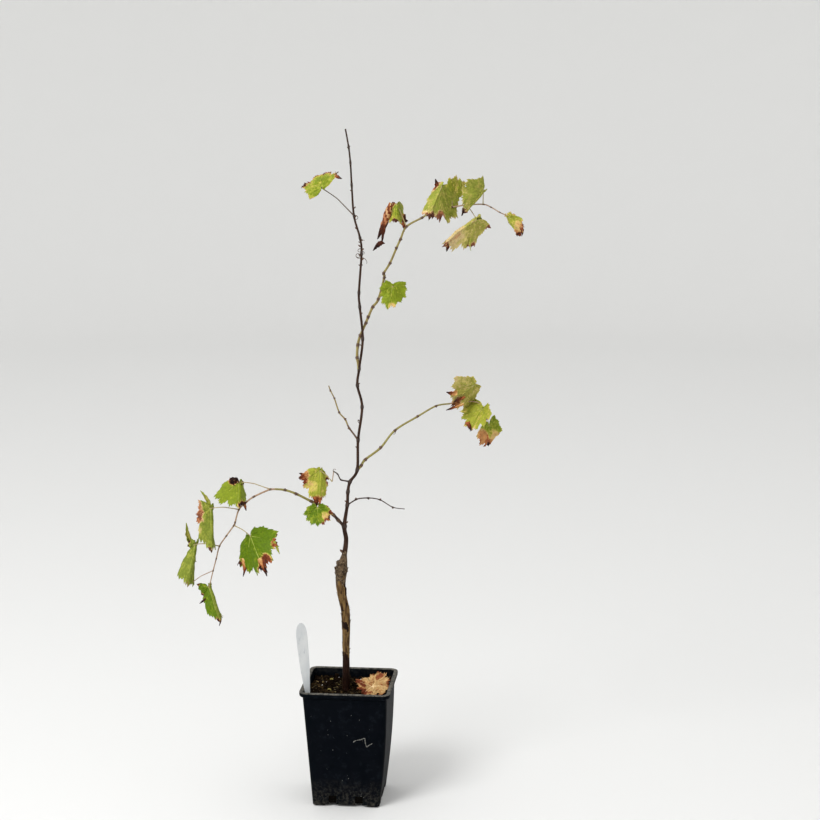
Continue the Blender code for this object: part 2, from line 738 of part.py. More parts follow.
def make_tag(group, material):
    """Blank plant tag, pointed at its foot, that leans in the pot's front left corner."""
    bpy.ops.mesh.primitive_cube_add(size=1)
    tag = bpy.context.object
    tag.name = "plant_tag"
    tag.data.transform(Matrix.Diagonal((TAG_WIDE * MM, TAG_THICK * MM, TAG_LONG * MM, 1)))
    model = bmesh.new()
    model.from_mesh(tag.data)
    uprights = [edge for edge in model.edges if edge.calc_length() > TAG_LONG * MM / 2]
    bmesh.ops.subdivide_edges(model, edges=uprights, cuts=7, use_grid_fill=True)
    for vert in model.verts:
        share = vert.co.z / (TAG_LONG * MM) + 0.5
        vert.co.x *= between(TAG_WIDTHS, share)
    model.to_mesh(tag.data)
    model.free()
    for owner in list(tag.users_collection):
        owner.objects.unlink(tag)
    group.objects.link(tag)
    tag.data.materials.append(material)
    return tag


def place_tag(tag):
    foot = Matrix.Translation(Vector((*TAG_FOOT, SOIL_TOP)) * MM)
    side_lean, back_lean = [math.radians(lean) for lean in TAG_LEANS]
    lean = Matrix.Rotation(side_lean, 4, "Y") @ Matrix.Rotation(back_lean, 4, "X")
    turn = Matrix.Rotation(math.radians(TAG_TURN), 4, "Z")
    tag.data.transform(foot @ lean @ turn @ Matrix.Translation((0, 0, TAG_LONG / 2 * MM)))


def rest_on(body, ground):
    """Lower a body from well above until it is just clear of the ground under it."""
    body.data.transform(Matrix.Translation((0, 0, REST_FROM * MM)))
    under, above = surface_of(ground), surface_of(body)
    gaps = [under.ray_cast(vert.co, Vector((0, 0, -1)))[3] for vert in body.data.vertices]
    gaps += [above.ray_cast(vert.co, Vector((0, 0, 1)))[3] for vert in ground.data.vertices]
    fall = min(gap for gap in gaps if gap) - CLEAR * MM
    body.data.transform(Matrix.Translation((0, 0, -fall)))


def make_fallen_leaf(group, material):
    place, (slope, turn), length, folds, droop, lobes = FALLEN_LEAF
    frame = Matrix.Translation(Vector(place) * MM) @ Matrix.Rotation(math.radians(slope), 4, "X")
    frame = frame @ Matrix.Rotation(math.radians(turn), 4, "Z")
    leaf = {"length": length, "folds": folds, "droop": droop, "lobes": lobes}
    blade = make_blade("fallen_leaf", frame, leaf, random.Random(SEED + 90), group)
    clean_mesh(blade.data)
    blade.data.materials.append(material)
    return blade


def main():
    remove_everything()
    group = make_collection("potted_grapevine")
    cutters = make_collection("cutters")
    loose = make_collection("loose_pieces")
    colors = make_materials()
    make_pot(group, cutters, colors["pot"])
    soil = make_soil(group, colors["soil"], random.Random(SEED))
    limbs = {"stem": make_stem(group, colors["bark"])}
    for name, spec in SHOOTS.items():
        color = colors["dry"] if name in ("twig_right_dry", "stub_left") else colors["shoot"]
        limbs[name] = make_shoot(name, spec, limbs["stem"], group, color)
    for number, (name, spec) in enumerate(MASSES.items()):
        make_mass(name, spec, limbs, group, loose, colors["leaf"], SEED + number)
    tag = make_tag(group, colors["tag"])
    place_tag(tag)
    rest_on(tag, soil)
    rest_on(make_fallen_leaf(group, colors["fallen"]), soil)
    bpy.data.collections.remove(loose)


main()
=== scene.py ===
import random
from math import ceil, copysign, cos, exp, hypot, pi, radians, sin, sqrt

import bmesh
import bpy
import numpy as np
from mathutils import Matrix, Vector, noise


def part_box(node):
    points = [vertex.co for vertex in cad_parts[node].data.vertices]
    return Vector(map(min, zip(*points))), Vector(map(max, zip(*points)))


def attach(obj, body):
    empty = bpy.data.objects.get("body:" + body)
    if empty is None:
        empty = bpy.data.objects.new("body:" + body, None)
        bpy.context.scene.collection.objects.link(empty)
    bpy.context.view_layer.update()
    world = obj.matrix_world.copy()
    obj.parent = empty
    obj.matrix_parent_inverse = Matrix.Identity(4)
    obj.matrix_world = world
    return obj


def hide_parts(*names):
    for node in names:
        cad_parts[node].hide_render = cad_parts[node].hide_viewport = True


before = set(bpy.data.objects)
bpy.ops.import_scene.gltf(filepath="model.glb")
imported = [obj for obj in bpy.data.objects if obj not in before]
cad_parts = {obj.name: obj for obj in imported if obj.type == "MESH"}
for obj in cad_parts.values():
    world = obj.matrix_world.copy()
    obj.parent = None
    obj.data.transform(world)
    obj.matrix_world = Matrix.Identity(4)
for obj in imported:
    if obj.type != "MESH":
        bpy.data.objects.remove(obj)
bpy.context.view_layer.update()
scene = bpy.context.scene
mm = 0.001
print("frame loaded")


# Colours and the node groups that all finishes share


def tone(color):
    # a screen colour, 0 to 255, as the linear colour that a shader takes
    shares = [value / 255 for value in color]
    return (*(part / 12.92 if part <= 0.04045 else ((part + 0.055) / 1.055) ** 2.4 for part in shares), 1.0)


def makeGroup(name, inputs, output, nodes, links):
    # nodes: type, then input values or an operation. links: "node.socket > node.socket"
    group = bpy.data.node_groups.new(name, "ShaderNodeTree")
    for label, value in inputs.items():
        group.interface.new_socket(label, in_out="INPUT", socket_type="NodeSocketFloat").default_value = value
    group.interface.new_socket(output, in_out="OUTPUT", socket_type="NodeSocketFloat")
    made = {"given": group.nodes.new("NodeGroupInput"), "result": group.nodes.new("NodeGroupOutput")}
    for label, (kind, values) in nodes.items():
        made[label] = group.nodes.new(kind)
        for socket, value in values.items():
            if socket == "operation":
                made[label].operation = value
            else:
                made[label].inputs[socket].default_value = value
    for link in links:
        (start, out), (end, into) = [place.split(".") for place in link.split(" > ")]
        group.links.new(made[start].outputs[out], made[end].inputs[int(into) if into.isdigit() else into])
    return group


stretchNodes = {
    "place": ("ShaderNodeTexCoord", {}), "stretch": ("ShaderNodeCombineXYZ", {"X": 1, "Y": 1}),
    "scaled": ("ShaderNodeVectorMath", {"operation": "MULTIPLY"}),
}
stretchLinks = ["given.Stretch > stretch.Z", "place.Object > scaled.0", "stretch.Vector > scaled.1"]
# soft blotches, 0 to 1, stretched along Z where Stretch is below 1
mottleInputs = {"Scale": 80.0, "Stretch": 1.0, "Low": 0.35, "High": 0.65}
mottleGroup = makeGroup("mottle", mottleInputs, "Mask", stretchNodes | {
    "blotch": ("ShaderNodeTexNoise", {"Detail": 6, "Roughness": 0.62}), "spread": ("ShaderNodeMapRange", {}),
}, stretchLinks + [
    "scaled.Vector > blotch.Vector", "given.Scale > blotch.Scale", "blotch.Fac > spread.Value",
    "given.Low > spread.From Min", "given.High > spread.From Max", "spread.Result > result.Mask"])
# fine relief: noise with small cells in it
grainGroup = makeGroup("grain", {"Scale": 600.0, "Cells": 0.3, "Stretch": 1.0}, "Height", stretchNodes | {
    "rough": ("ShaderNodeTexNoise", {"Detail": 8}), "cells": ("ShaderNodeTexVoronoi", {}),
    "blend": ("ShaderNodeMix", {}),
}, stretchLinks + [
    "scaled.Vector > rough.Vector", "given.Scale > rough.Scale", "scaled.Vector > cells.Vector",
    "given.Scale > cells.Scale", "given.Cells > blend.Factor", "rough.Fac > blend.A",
    "cells.Distance > blend.B", "blend.Result > result.Height"])
# dust where a surface faces up and near its foot, up to the height Foot, broken up by noise
dustGroup = makeGroup("dust", {"Amount": 0.5, "Scale": 120.0, "Foot": 0.0001}, "Mask", {
    "geometry": ("ShaderNodeNewGeometry", {}), "parts": ("ShaderNodeSeparateXYZ", {}),
    "upward": ("ShaderNodeMapRange", {"From Min": 0.05}), "place": ("ShaderNodeTexCoord", {}),
    "level": ("ShaderNodeSeparateXYZ", {}), "low": ("ShaderNodeMapRange", {"From Max": 0, "To Max": 0.7}),
    "most": ("ShaderNodeMath", {"operation": "MAXIMUM"}),
    "flecks": ("ShaderNodeTexNoise", {"Detail": 9, "Roughness": 0.7}),
    "sharp": ("ShaderNodeMapRange", {"From Min": 0.45, "From Max": 0.75}),
    "both": ("ShaderNodeMath", {"operation": "MULTIPLY"}),
    "amount": ("ShaderNodeMath", {"operation": "MULTIPLY"}),
}, [
    "geometry.Normal > parts.0", "parts.Z > upward.Value", "place.Object > level.0", "level.Z > low.Value",
    "given.Foot > low.From Min", "upward.Result > most.0", "low.Result > most.1",
    "place.Object > flecks.Vector", "given.Scale > flecks.Scale", "flecks.Fac > sharp.Value",
    "most.Value > both.0", "sharp.Result > both.1", "both.Value > amount.0", "given.Amount > amount.1",
    "amount.Value > result.Mask"])
finishes = {}


def addFinish(name, tones, roughness, blotch, grain, relief, specular=0.5, dust=None):
    # tones: ground, blotches, small blotches. blotch: scale, stretch, low, high. grain: scale, cells,
    # stretch. relief: bump strength and distance in mm. dust: tone, amount, scale, height above the ground.
    finishes[name] = material = bpy.data.materials.new(name)
    material.use_nodes = True
    nodes, links = material.node_tree.nodes, material.node_tree.links
    shader = nodes["Principled BSDF"]
    shader.inputs["Specular IOR Level"].default_value = specular

    def place(group, values):
        node = nodes.new("ShaderNodeGroup")
        node.node_tree = group
        for socket, value in zip(node.inputs, values):
            socket.default_value = value
        return node.outputs[0]

    covers = [(mottleGroup, blotch, tones[1])]
    if len(tones) > 2:
        covers.append((mottleGroup, (blotch[0] * 3.7, blotch[1], 0.55, 0.66), tones[2]))
    if dust:
        covers.append((dustGroup, dust[1:], dust[0]))
    color = None
    for group, values, cover in covers:
        blend = nodes.new("ShaderNodeMix")
        blend.data_type = "RGBA"
        ground, top = [socket for socket in blend.inputs if socket.type == "RGBA"]
        links.new(place(group, values), blend.inputs["Factor"])
        if color is None:
            ground.default_value = tone(tones[0])
        else:
            links.new(color, ground)
        top.default_value = tone(cover)
        color = next(socket for socket in blend.outputs if socket.type == "RGBA")
    links.new(color, shader.inputs["Base Color"])
    height = place(grainGroup, grain)
    gloss = nodes.new("ShaderNodeMapRange")
    gloss.inputs["To Min"].default_value = max(0.05, roughness - 0.1)
    gloss.inputs["To Max"].default_value = min(1.0, roughness + 0.1)
    links.new(height, gloss.inputs["Value"])
    links.new(gloss.outputs["Result"], shader.inputs["Roughness"])
    bump = nodes.new("ShaderNodeBump")
    bump.inputs["Strength"].default_value = relief[0]
    bump.inputs["Distance"].default_value = relief[1] * mm
    links.new(height, bump.inputs["Height"])
    links.new(bump.outputs["Normal"], shader.inputs["Normal"])


# Mesh makers


class Heap:
    # verts, faces, face colours and places on the bake layer of one piece that is made from many meshes
    def __init__(self):
        self.verts, self.faces, self.colors, self.flat = [], [], [], []

    def add(self, verts, faces, colors, flat=()):
        start = len(self.verts)
        self.verts += verts
        self.faces += [tuple(start + index for index in face) for face in faces]
        self.colors += [colors] * len(faces) if isinstance(colors, int) else colors
        self.flat += flat

    def mesh(self, name, sharp, outward):
        mesh = bpy.data.meshes.new(name)
        mesh.from_pydata([tuple(vert) for vert in self.verts], [], self.faces)
        mesh.polygons.foreach_set("material_index", self.colors)
        if self.flat:
            mesh.uv_layers.new(name="OFBake").uv.foreach_set("vector", np.ravel(self.flat))
        if outward:
            model = bmesh.new()
            model.from_mesh(mesh)
            bmesh.ops.recalc_face_normals(model, faces=model.faces)
            model.to_mesh(mesh)
            model.free()
        mesh.shade_smooth()
        if sharp:
            mesh.set_sharp_from_angle(angle=radians(sharp))
        return mesh

    def piece(self, name, finishNames, slot, *nodes, sharp=0, outward=False):
        mesh = self.mesh(name, sharp, outward)
        body = bpy.data.objects.new(name, mesh)
        scene.collection.objects.link(body)
        for finishName in finishNames:
            mesh.materials.append(finishes[finishName])
        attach(body, "root")
        if nodes:
            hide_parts(*nodes)
        return body


def addLoft(heap, rings, colorOf):
    # skin over rings of equal count, closed by a face at both ends; colorOf(ring, side) or one colour
    count, last = len(rings[0]), len(rings) - 1
    faces, colors = [], []
    for row in range(last):
        for step in range(count):
            low, after = row * count, (step + 1) % count
            faces.append((low + step, low + after, low + count + after, low + count + step))
            colors.append(colorOf if isinstance(colorOf, int) else colorOf(row, step))
    faces += [range(count)[::-1], range(last * count, last * count + count)]
    colors += [colors[0], colors[-1]]
    heap.add([point for ring in rings for point in ring], faces, colors)


def wayAt(points, index):
    return (points[min(index + 1, len(points) - 1)] - points[max(index - 1, 0)]).normalized()


def squareTo(way, before):
    # a side direction square to way, turned as little as possible from the one before
    side = before - way * before.dot(way)
    return (way.orthogonal() if side.length < 1e-6 else side).normalized()


def addTube(heap, points, radii, sides, colorOf, reliefOf=None):
    # a tube along points; reliefOf(ring, angle) scales its radius
    side = (points[1] - points[0]).orthogonal()
    turns = [2 * pi * step / sides for step in range(sides)]
    rings = []
    for ring, (point, radius) in enumerate(zip(points, radii)):
        way = wayAt(points, ring)
        side = squareTo(way, side)
        other = way.cross(side)
        rings.append([point + (side * cos(turn) + other * sin(turn))
                      * (radius * (reliefOf(ring, turn) if reliefOf else 1.0)) for turn in turns])
    addLoft(heap, rings, colorOf)


def addLump(heap, place, wide, long, way, color, rng, rough, rings, sides):
    # a rough pebble or bud: a sphere stretched along way; wide and long are its half sizes in mm
    way = way.normalized()
    side = way.orthogonal().normalized()
    other = way.cross(side)
    wide, long = wide * mm, long * mm
    verts, faces = [place - way * long], []
    for ring in range(1, rings):
        angle = pi * ring / rings
        for step in range(sides):
            turn = 2 * pi * step / sides
            out = wide * sin(angle) * (1 + rng.uniform(-rough, rough))
            verts.append(place - way * long * cos(angle) + (side * cos(turn) + other * sin(turn)) * out)
    verts.append(place + way * long)
    top = len(verts) - 1
    for step in range(sides):
        after = (step + 1) % sides
        faces += [(0, 1 + after, 1 + step), (top, top - sides + step, top - sides + after)]
        for low in range(1, 1 + (rings - 2) * sides, sides):
            faces.append((low + step, low + after, low + sides + after, low + sides + step))
    heap.add(verts, faces, color)


def addStrip(heap, points, widths, face, thick, color):
    # a thin closed strip along points, widths across it, face out of its flat side
    rings = []
    for index, (point, width) in enumerate(zip(points, widths)):
        way = wayAt(points, index)
        across = way.cross(face).normalized() * width / 2
        out = across.cross(way).normalized() * thick / 2
        rings.append([point - across - out, point + across - out, point + across + out, point - across + out])
    addLoft(heap, rings, color)


# The vine's own plane and its growth rule, as in the model: lengths in mm, leans and swings in degrees


vineTurn = radians(5.5)
soilTop = 184.0
clear = 0.3


def vineDirection(right, away, rise):
    return Matrix.Rotation(vineTurn, 3, "Z") @ Vector((right, away, rise))


def vinePoint(right, away, rise):
    return vineDirection(right, away, rise) * mm


def heading(lean, swing):
    lean, swing = radians(lean), radians(swing)
    return vineDirection(sin(lean) * cos(swing), sin(swing), cos(lean) * cos(swing))


def follow(start, internodes):
    points = [start]
    for length, lean, swing in internodes:
        points.append(points[-1] + heading(lean, swing) * length * mm)
    return points


def between(table, value):
    for (low, lowValue), (high, highValue) in zip(table, table[1:]):
        if value <= high:
            return lowValue + (highValue - lowValue) * max(0.0, (value - low) / (high - low))
    return table[-1][1]


def bell(gap, wide):
    # 1 where gap is 0, falling to 0 on both sides
    return exp(-(gap / wide) ** 2)


def radial(angle, rise=0):
    return Vector((cos(angle), sin(angle), rise))


def smoothRun(points, step):
    # points every step or so on a smooth curve through the joints, and each one's joint number as a share
    run, shares = [], []
    last = len(points) - 1
    for index in range(last):
        before, here, there = points[index - 1], points[index], points[index + 1]
        after = points[index + 2] if index + 2 <= last else there
        count = max(2, round((there - here).length / (step * mm)))
        for number in range(count):
            t = number / count
            if index:
                run.append(0.5 * (
                    2 * here + (there - before) * t + (2 * before - 5 * here + 4 * there - after) * t * t
                    + (3 * here - before - 3 * there + after) * t * t * t))
            else:
                run.append(here.lerp(there, t))
            shares.append(index + t)
    return run + [points[last]], shares + [float(last)]


def wayOut(points):
    # the direction in which a shoot leaves its tip
    here, there = points[-2], points[-1]
    return (there - ((here + there) * 0.5625 - (points[-3] + there) * 0.0625)).normalized()


stemFoot = (-5.0, -4.0)
stemInternodes = (
    (70, 0, 1), (59, 0, 2), (33, -10, 1), (22, -6, 0), (22, 3, 0), (24, 11, 0), (28, 7, 0), (23, -7, 0),
    (36, 8, 2), (22, 3, 0), (17, 12, 7), (24, 30, -8), (50, 2, -2), (55, 7, 0), (36, -12, 6),
    (27, 6, -4), (50, 7, -2), (52, -5, 3), (23, -3, -2), (63, 4, -1), (25, -5, 2), (37, -15, 0),
    (49, -4, 1), (35, -3, -1), (25, -6, -3), (29, -10, 4),
)
stemThick = (
    (181, 15.0), (190, 12.4), (250, 11.4), (300, 13.6), (355, 15.0), (376, 17.5), (392, 19.6), (404, 14.0),
    (416, 8.6), (440, 7.6), (470, 6.4), (500, 5.0), (620, 4.3), (800, 3.9), (1000, 3.1), (1108, 2.4),
)
shoots = {  # joint of the stem, thickness from and to, internodes
    "bough_left": (8, 5.0, 3.2, (
        (16, -40, -17), (12, -40, -10), (22, -50, -2), (21, -64, -6), (28, -61, -8), (20, -68, -12),
        (17, -81, -14))),
    "bough_right_low": (12, 4.0, 2.6, (
        (9.5, 48, 27), (12, 34, 14), (32, 54, 15), (37, 41, 14), (44, 60, 13), (35, 62, 13), (24, 83, 15))),
    "bough_right_high": (16, 4.4, 3.0, (
        (18.5, -10, 19), (21, 3, 3), (16, 15, 0), (23, 23, -5), (11, 22, -11), (18, 24, -6), (16, 35, -11),
        (38, 15, -11), (7, -7, -14), (20, 31, -12), (27, 23, -10), (16, 24, -11), (23, 25, -11),
        (29, 59, -11), (18, 57, -11))),
    "shoot_left_short": (13, 3.0, 1.8, (
        (24, -38, 14), (16, -26, 15), (15, -42, 16), (24, -20, 12), (14, -27, 11), (9, -21, 14))),
    "twig_right_dry": (9, 2.4, 1.2, (
        (19.5, 53, -21), (21, 80, -14), (20, 96, -14), (24, 118, -12), (20, 96, -12))),
    "stub_left": (11, 2.6, 1.6, ((15.5, -75, -19), (12, -30, -5), (9, -54, -7))),
}
limbs = {"stem": follow(vinePoint(*stemFoot, soilTop + clear), stemInternodes)}
for shootName, shoot in shoots.items():
    limbs[shootName] = follow(limbs["stem"][shoot[0]], shoot[3])


# Stem: dark rootstock, peeling bark above it, the knobbly graft and the dark cane


stemLooks = {
    "sides": 36, "step": 1.5, "peelFrom": 250.0, "graftFrom": 370.0, "caneFrom": 420.0,
    "ragged": 9.0,              # how far the bounds between barks wander, mm
    "flakes": 46, "ridges": 0.05, "swell": 0.4, "jointLength": 3.2, "firstJoint": 8,
    "graftMiddle": 388, "graftHalf": 14, "graftLumps": 0.16, "snagAt": 352,
}
ridgeShares = ((181, 1.2), (250, 1.2), (372, 1.5), (416, 1.0), (500, 0.7))
addFinish("rootstockBark", ((24, 11, 7), (40, 22, 13), (10, 4, 3)), 0.5, (160, 0.25, 0.4, 0.62),
          (900, 0.35, 0.3), (0.6, 0.5), 0.08)
addFinish("peelingBark", ((124, 98, 58), (78, 56, 32), (38, 25, 15)), 0.8, (260, 0.16, 0.42, 0.56),
          (700, 0.4, 0.2), (0.9, 0.9), 0.15)
addFinish("graftBark", ((98, 80, 60), (38, 26, 19), (160, 142, 114)), 0.85, (260, 0.8, 0.42, 0.6),
          (800, 0.5, 1.0), (1.0, 1.0), 0.15)
addFinish("caneBark", ((42, 27, 20), (68, 47, 36), (22, 13, 10)), 0.6, (300, 0.15, 0.4, 0.62),
          (1200, 0.2, 0.12), (0.6, 0.45), 0.1)
addFinish("caneNode", ((36, 23, 18), (58, 39, 28), (22, 14, 11)), 0.7, (500, 0.8, 0.4, 0.6),
          (1500, 0.4, 0.6), (0.6, 0.4))


def makeStem(looks):
    points = limbs["stem"]
    middles, shares = smoothRun(points, looks["step"])
    radii, knots = [], []
    for point, share in zip(middles, shares):
        near = round(share)
        knot = bell((point - points[near]).length / mm, looks["jointLength"])
        knots.append(knot if looks["firstJoint"] <= near < len(points) - 1 else 0.0)
        radii.append(between(stemThick, point.z / mm) / 2 * mm * (1 + looks["swell"] * knots[-1]))

    def relief(ring, angle):
        # ridges that run along the stem, coarser on the rootstock and lumpy on the graft
        height, around = middles[ring].z / mm, radial(angle)
        ridges = noise.noise(around * 3.2 + Vector((0, 0, height / 34)))
        ridges += 0.5 * noise.noise(around * 7.5 + Vector((5, 0, height / 12)))
        lumps = noise.noise(around * 1.6 + Vector((9, 0, height / 6.5)))
        graft = looks["graftLumps"] * bell(height - looks["graftMiddle"], looks["graftHalf"])
        return 1 + looks["ridges"] * between(ridgeShares, height) * ridges + graft * lumps

    def color(ring, side):
        point = middles[ring]
        around = radial(2 * pi * side / looks["sides"], point.z / mm / 9)
        height = point.z / mm + looks["ragged"] * noise.noise(around * 1.3)
        if height < looks["peelFrom"]:
            return 0
        if height < looks["graftFrom"]:
            return int(noise.noise(around * Vector((1.2, 1.2, 0.5))) > -0.28)
        if height < looks["caneFrom"]:
            return 2
        return 4 if knots[ring] > 0.45 else 3

    heap = Heap()
    addTube(heap, middles, radii, looks["sides"], color, relief)
    barks = ("rootstockBark", "peelingBark", "graftBark", "caneBark", "caneNode")
    heap.piece("stem_bark", barks, "brown_bark", "stem")


def stemAt(height):
    # the point of the stem's middle line at a height, and its radius there
    for low, high in zip(limbs["stem"], limbs["stem"][1:]):
        if low.z <= height * mm <= high.z:
            share = (height * mm - low.z) / (high.z - low.z)
            return low.lerp(high, share), between(stemThick, height) / 2 * mm
    return limbs["stem"][-1], stemThick[-1][1] / 2 * mm


def makeBarkFlakes(looks, rng):
    # loose strips of bark that lift at one end
    heap = Heap()
    for _ in range(looks["flakes"]):
        height = rng.uniform(looks["peelFrom"] - 20, looks["graftFrom"] + 18)
        out = radial(rng.uniform(0, 2 * pi))
        length, lift, twist = rng.uniform(5, 17), rng.uniform(0.3, 2.2), rng.uniform(-0.25, 0.25)
        points, widths = [], []
        for step in range(8):
            share = step / 7
            place, around = stemAt(height + length * share)
            turned = Matrix.Rotation(twist * share, 3, "Z") @ out
            points.append(place + turned * (around + (0.1 + lift * share ** 3) * mm))
            widths.append(rng.uniform(0.8, 1.2) * (2.4 - 1.7 * share ** 2) * mm)
        addStrip(heap, points, widths, out, 0.25 * mm, rng.choice((0, 0, 1)))
    heap.piece("bark_flakes", ("peelingBark", "rootstockBark"), "brown_bark", sharp=40)


graftLumps = (  # angle, height, share of the radius out, size
    (150, 399, 0.55, 5.4), (195, 396, 0.6, 5.0), (-95, 398, 0.6, 4.8), (-135, 390, 0.75, 4.4),
    (-30, 396, 0.6, 4.4), (160, 402, 0.9, 4.6), (215, 401, 0.85, 4.4), (-115, 403, 0.9, 4.0),
    (175, 392, 0.85, 4.2), (-60, 403, 0.7, 3.6), (60, 397, 0.6, 4.6), (100, 392, 0.7, 4.6),
    (-70, 386, 0.85, 3.4), (170, 384, 0.8, 3.8), (20, 388, 0.8, 3.6),
)


def makeGraftLumps(looks, rng):
    # the knobbly callus round the union, and the dead snag below it
    heap = Heap()
    for angle, height, share, size in graftLumps:
        middle, radius = stemAt(height)
        way = Vector((rng.uniform(-0.5, 0.5), rng.uniform(-0.5, 0.5), 1))
        place = middle + radial(radians(angle)) * radius * share
        addLump(heap, place, size, size * 0.85, way, 0, rng, 0.3, 10, 16)
    middle, radius = stemAt(looks["snagAt"])
    snag = middle + vineDirection(0.8, -0.5, 0) * radius
    addLump(heap, snag, 1.7, 11, Vector((0.05, 0, 1)), 1, rng, 0.2, 9, 10)
    heap.piece("graft_callus", ("graftBark", "rootstockBark"), "brown_bark")


makeStem(stemLooks)
makeGraftLumps(stemLooks, random.Random(9))
makeBarkFlakes(stemLooks, random.Random(11))
print("stem ready")


# Boughs and twigs


shootLooks = {"sides": 20, "step": 1.1, "swell": 0.32, "collar": 0.35, "ridges": 0.05, "jointFrom": 0.5}
addFinish("oliveShoot", ((144, 136, 64), (116, 104, 46), (92, 72, 38)), 0.55, (320, 0.2, 0.4, 0.65),
          (1400, 0.2, 0.15), (0.4, 0.25))
addFinish("tanShoot", ((146, 130, 72), (118, 98, 52), (92, 66, 38)), 0.55, (340, 0.2, 0.4, 0.62),
          (1400, 0.2, 0.15), (0.4, 0.25))
addFinish("pinkShoot", ((166, 138, 108), (140, 104, 80), (104, 72, 54)), 0.5, (360, 0.2, 0.42, 0.64),
          (1500, 0.2, 0.15), (0.35, 0.2))
addFinish("shootNode", ((92, 64, 42), (62, 42, 28), (126, 96, 60)), 0.65, (600, 0.8, 0.4, 0.6),
          (1500, 0.4, 0.7), (0.6, 0.35))
addFinish("dryWood", ((42, 25, 18), (66, 44, 32), (22, 13, 10)), 0.8, (380, 0.15, 0.4, 0.6),
          (1300, 0.25, 0.12), (0.7, 0.4))


def evenRadii(points, thick, thin):
    runs = [0.0]
    for one, two in zip(points, points[1:]):
        runs.append(runs[-1] + (two - one).length)
    return [(thick + (thin - thick) * run / runs[-1]) / 2 * mm for run in runs]


def addShoot(heap, points, thick, thin, looks, tintOf, phase=0):
    # a tapering shoot with a collar at its foot and swollen joints; tintOf(joint share, side) between them
    middles, shares = smoothRun(points, looks["step"])
    even, last = evenRadii(points, thick, thin), len(points) - 1
    radii, knots = [], []
    for point, share in zip(middles, shares):
        low, near = min(int(share), last - 1), round(share)
        radius = even[low] + (even[low + 1] - even[low]) * (share - low)
        knot = bell((point - points[near]).length / mm, 1.3 * radius / mm + 0.8)
        knots.append(knot if 0 < near < last else 0.0)
        collar = looks["collar"] * bell((point - points[0]).length / mm, 5)
        radii.append(radius * (1 + looks["swell"] * knots[-1] + collar))

    def relief(ring, angle):
        return 1 + looks["ridges"] * noise.noise(radial(angle) * 2.6 + Vector((phase, 0, ring / 26)))

    def color(ring, side):
        return 2 if knots[ring] > looks["jointFrom"] else int(tintOf(shares[ring], side))

    addTube(heap, middles, radii, looks["sides"], color, relief)


def ragged(share, side, joint):
    # true past a joint, with a ragged bound
    return share + 0.3 * noise.noise(Vector((share * 4, side * 0.9, joint))) > joint


shootBarks = {  # two barks and the joints' bark, slot, and where the second bark shows
    "bough_left": ("dryWood", "oliveShoot", "shootNode", "olive_shoot",
                   lambda share, side: ragged(share, side, 2.2)),
    "bough_right_low": ("tanShoot", "oliveShoot", "shootNode", "olive_shoot", lambda share, side: side < 9),
    "bough_right_high": ("tanShoot", "oliveShoot", "shootNode", "olive_shoot", lambda share, side: side < 11),
    "shoot_left_short": ("shootNode", "tanShoot", "shootNode", "olive_shoot",
                         lambda share, side: ragged(share, side, 1.4)),
    "twig_right_dry": ("dryWood", "dryWood", "dryWood", "dry_twig", lambda share, side: 0),
    "stub_left": ("dryWood", "dryWood", "dryWood", "dry_twig", lambda share, side: 0),
}
for shootName, (*barks, barkSlot, barkTint) in shootBarks.items():
    stemJoint, *thickness = shoots[shootName][:3]
    barkLooks = dict(shootLooks, swell=0.7) if shootName == "twig_right_dry" else shootLooks
    bark = Heap()
    addShoot(bark, limbs[shootName], *thickness, barkLooks, barkTint, stemJoint)
    bark.piece(shootName + "_bark", barks, barkSlot, shootName)
print("boughs ready")


# Buds at the joints and the thin dry tendrils


addFinish("budScales", ((70, 44, 32), (110, 78, 54), (40, 25, 20)), 0.7, (700, 1.0, 0.4, 0.6),
          (1500, 0.4, 1.0), (0.6, 0.3))
addFinish("dryTendril", ((66, 50, 36), (92, 72, 50), (40, 28, 20)), 0.7, (500, 0.5, 0.4, 0.6),
          (1500, 0.2, 0.5), (0.4, 0.2))
stemBuds = (  # height, side (1 right, -1 left), size
    (421, -1, 4.0), (470, 1, 2.4), (505, -1, 2.2), (640, -1, 1.9), (903, 1, 2.8), (909, -1, 3.0),
    (918, 1, 2.8), (924, -1, 2.4), (933, 1, 2.2), (952, -1, 2.4), (971, 1, 2.2), (700, 1, 1.9),
    (815, 1, 1.9), (893, -1, 1.7), (893, 1, 1.7), (985, 1, 2.2), (1012, -1, 1.8), (1080, -1, 1.5),
    (1082, 1, 1.4), (560, 1, 1.8), (596, -1, 1.9), (764, -1, 1.6), (930, -1, 1.6),
)
tendrils = (  # limb, joint share, lean, swing, length, curl in turns
    ("stem", 22.0, 70, -20, 15, 0.7), ("stem", 20.7, 20, -30, 10, 0.25), ("stem", 19.9, -110, -20, 30, 1.25),
    ("stem", 20.3, -70, -15, 12, -0.7), ("stem", 19.9, 95, -20, 16, 0.3), ("stem", 20.1, 60, 10, 12, 0.9),
    ("stem", 13.5, -60, -20, 10, 0.3), ("stub_left", 2.6, -60, -30, 13, 0.6),
    ("bough_right_high", 9.0, 120, -20, 11, 0.5), ("bough_right_low", 4.0, 150, -30, 9, 0.4),
)


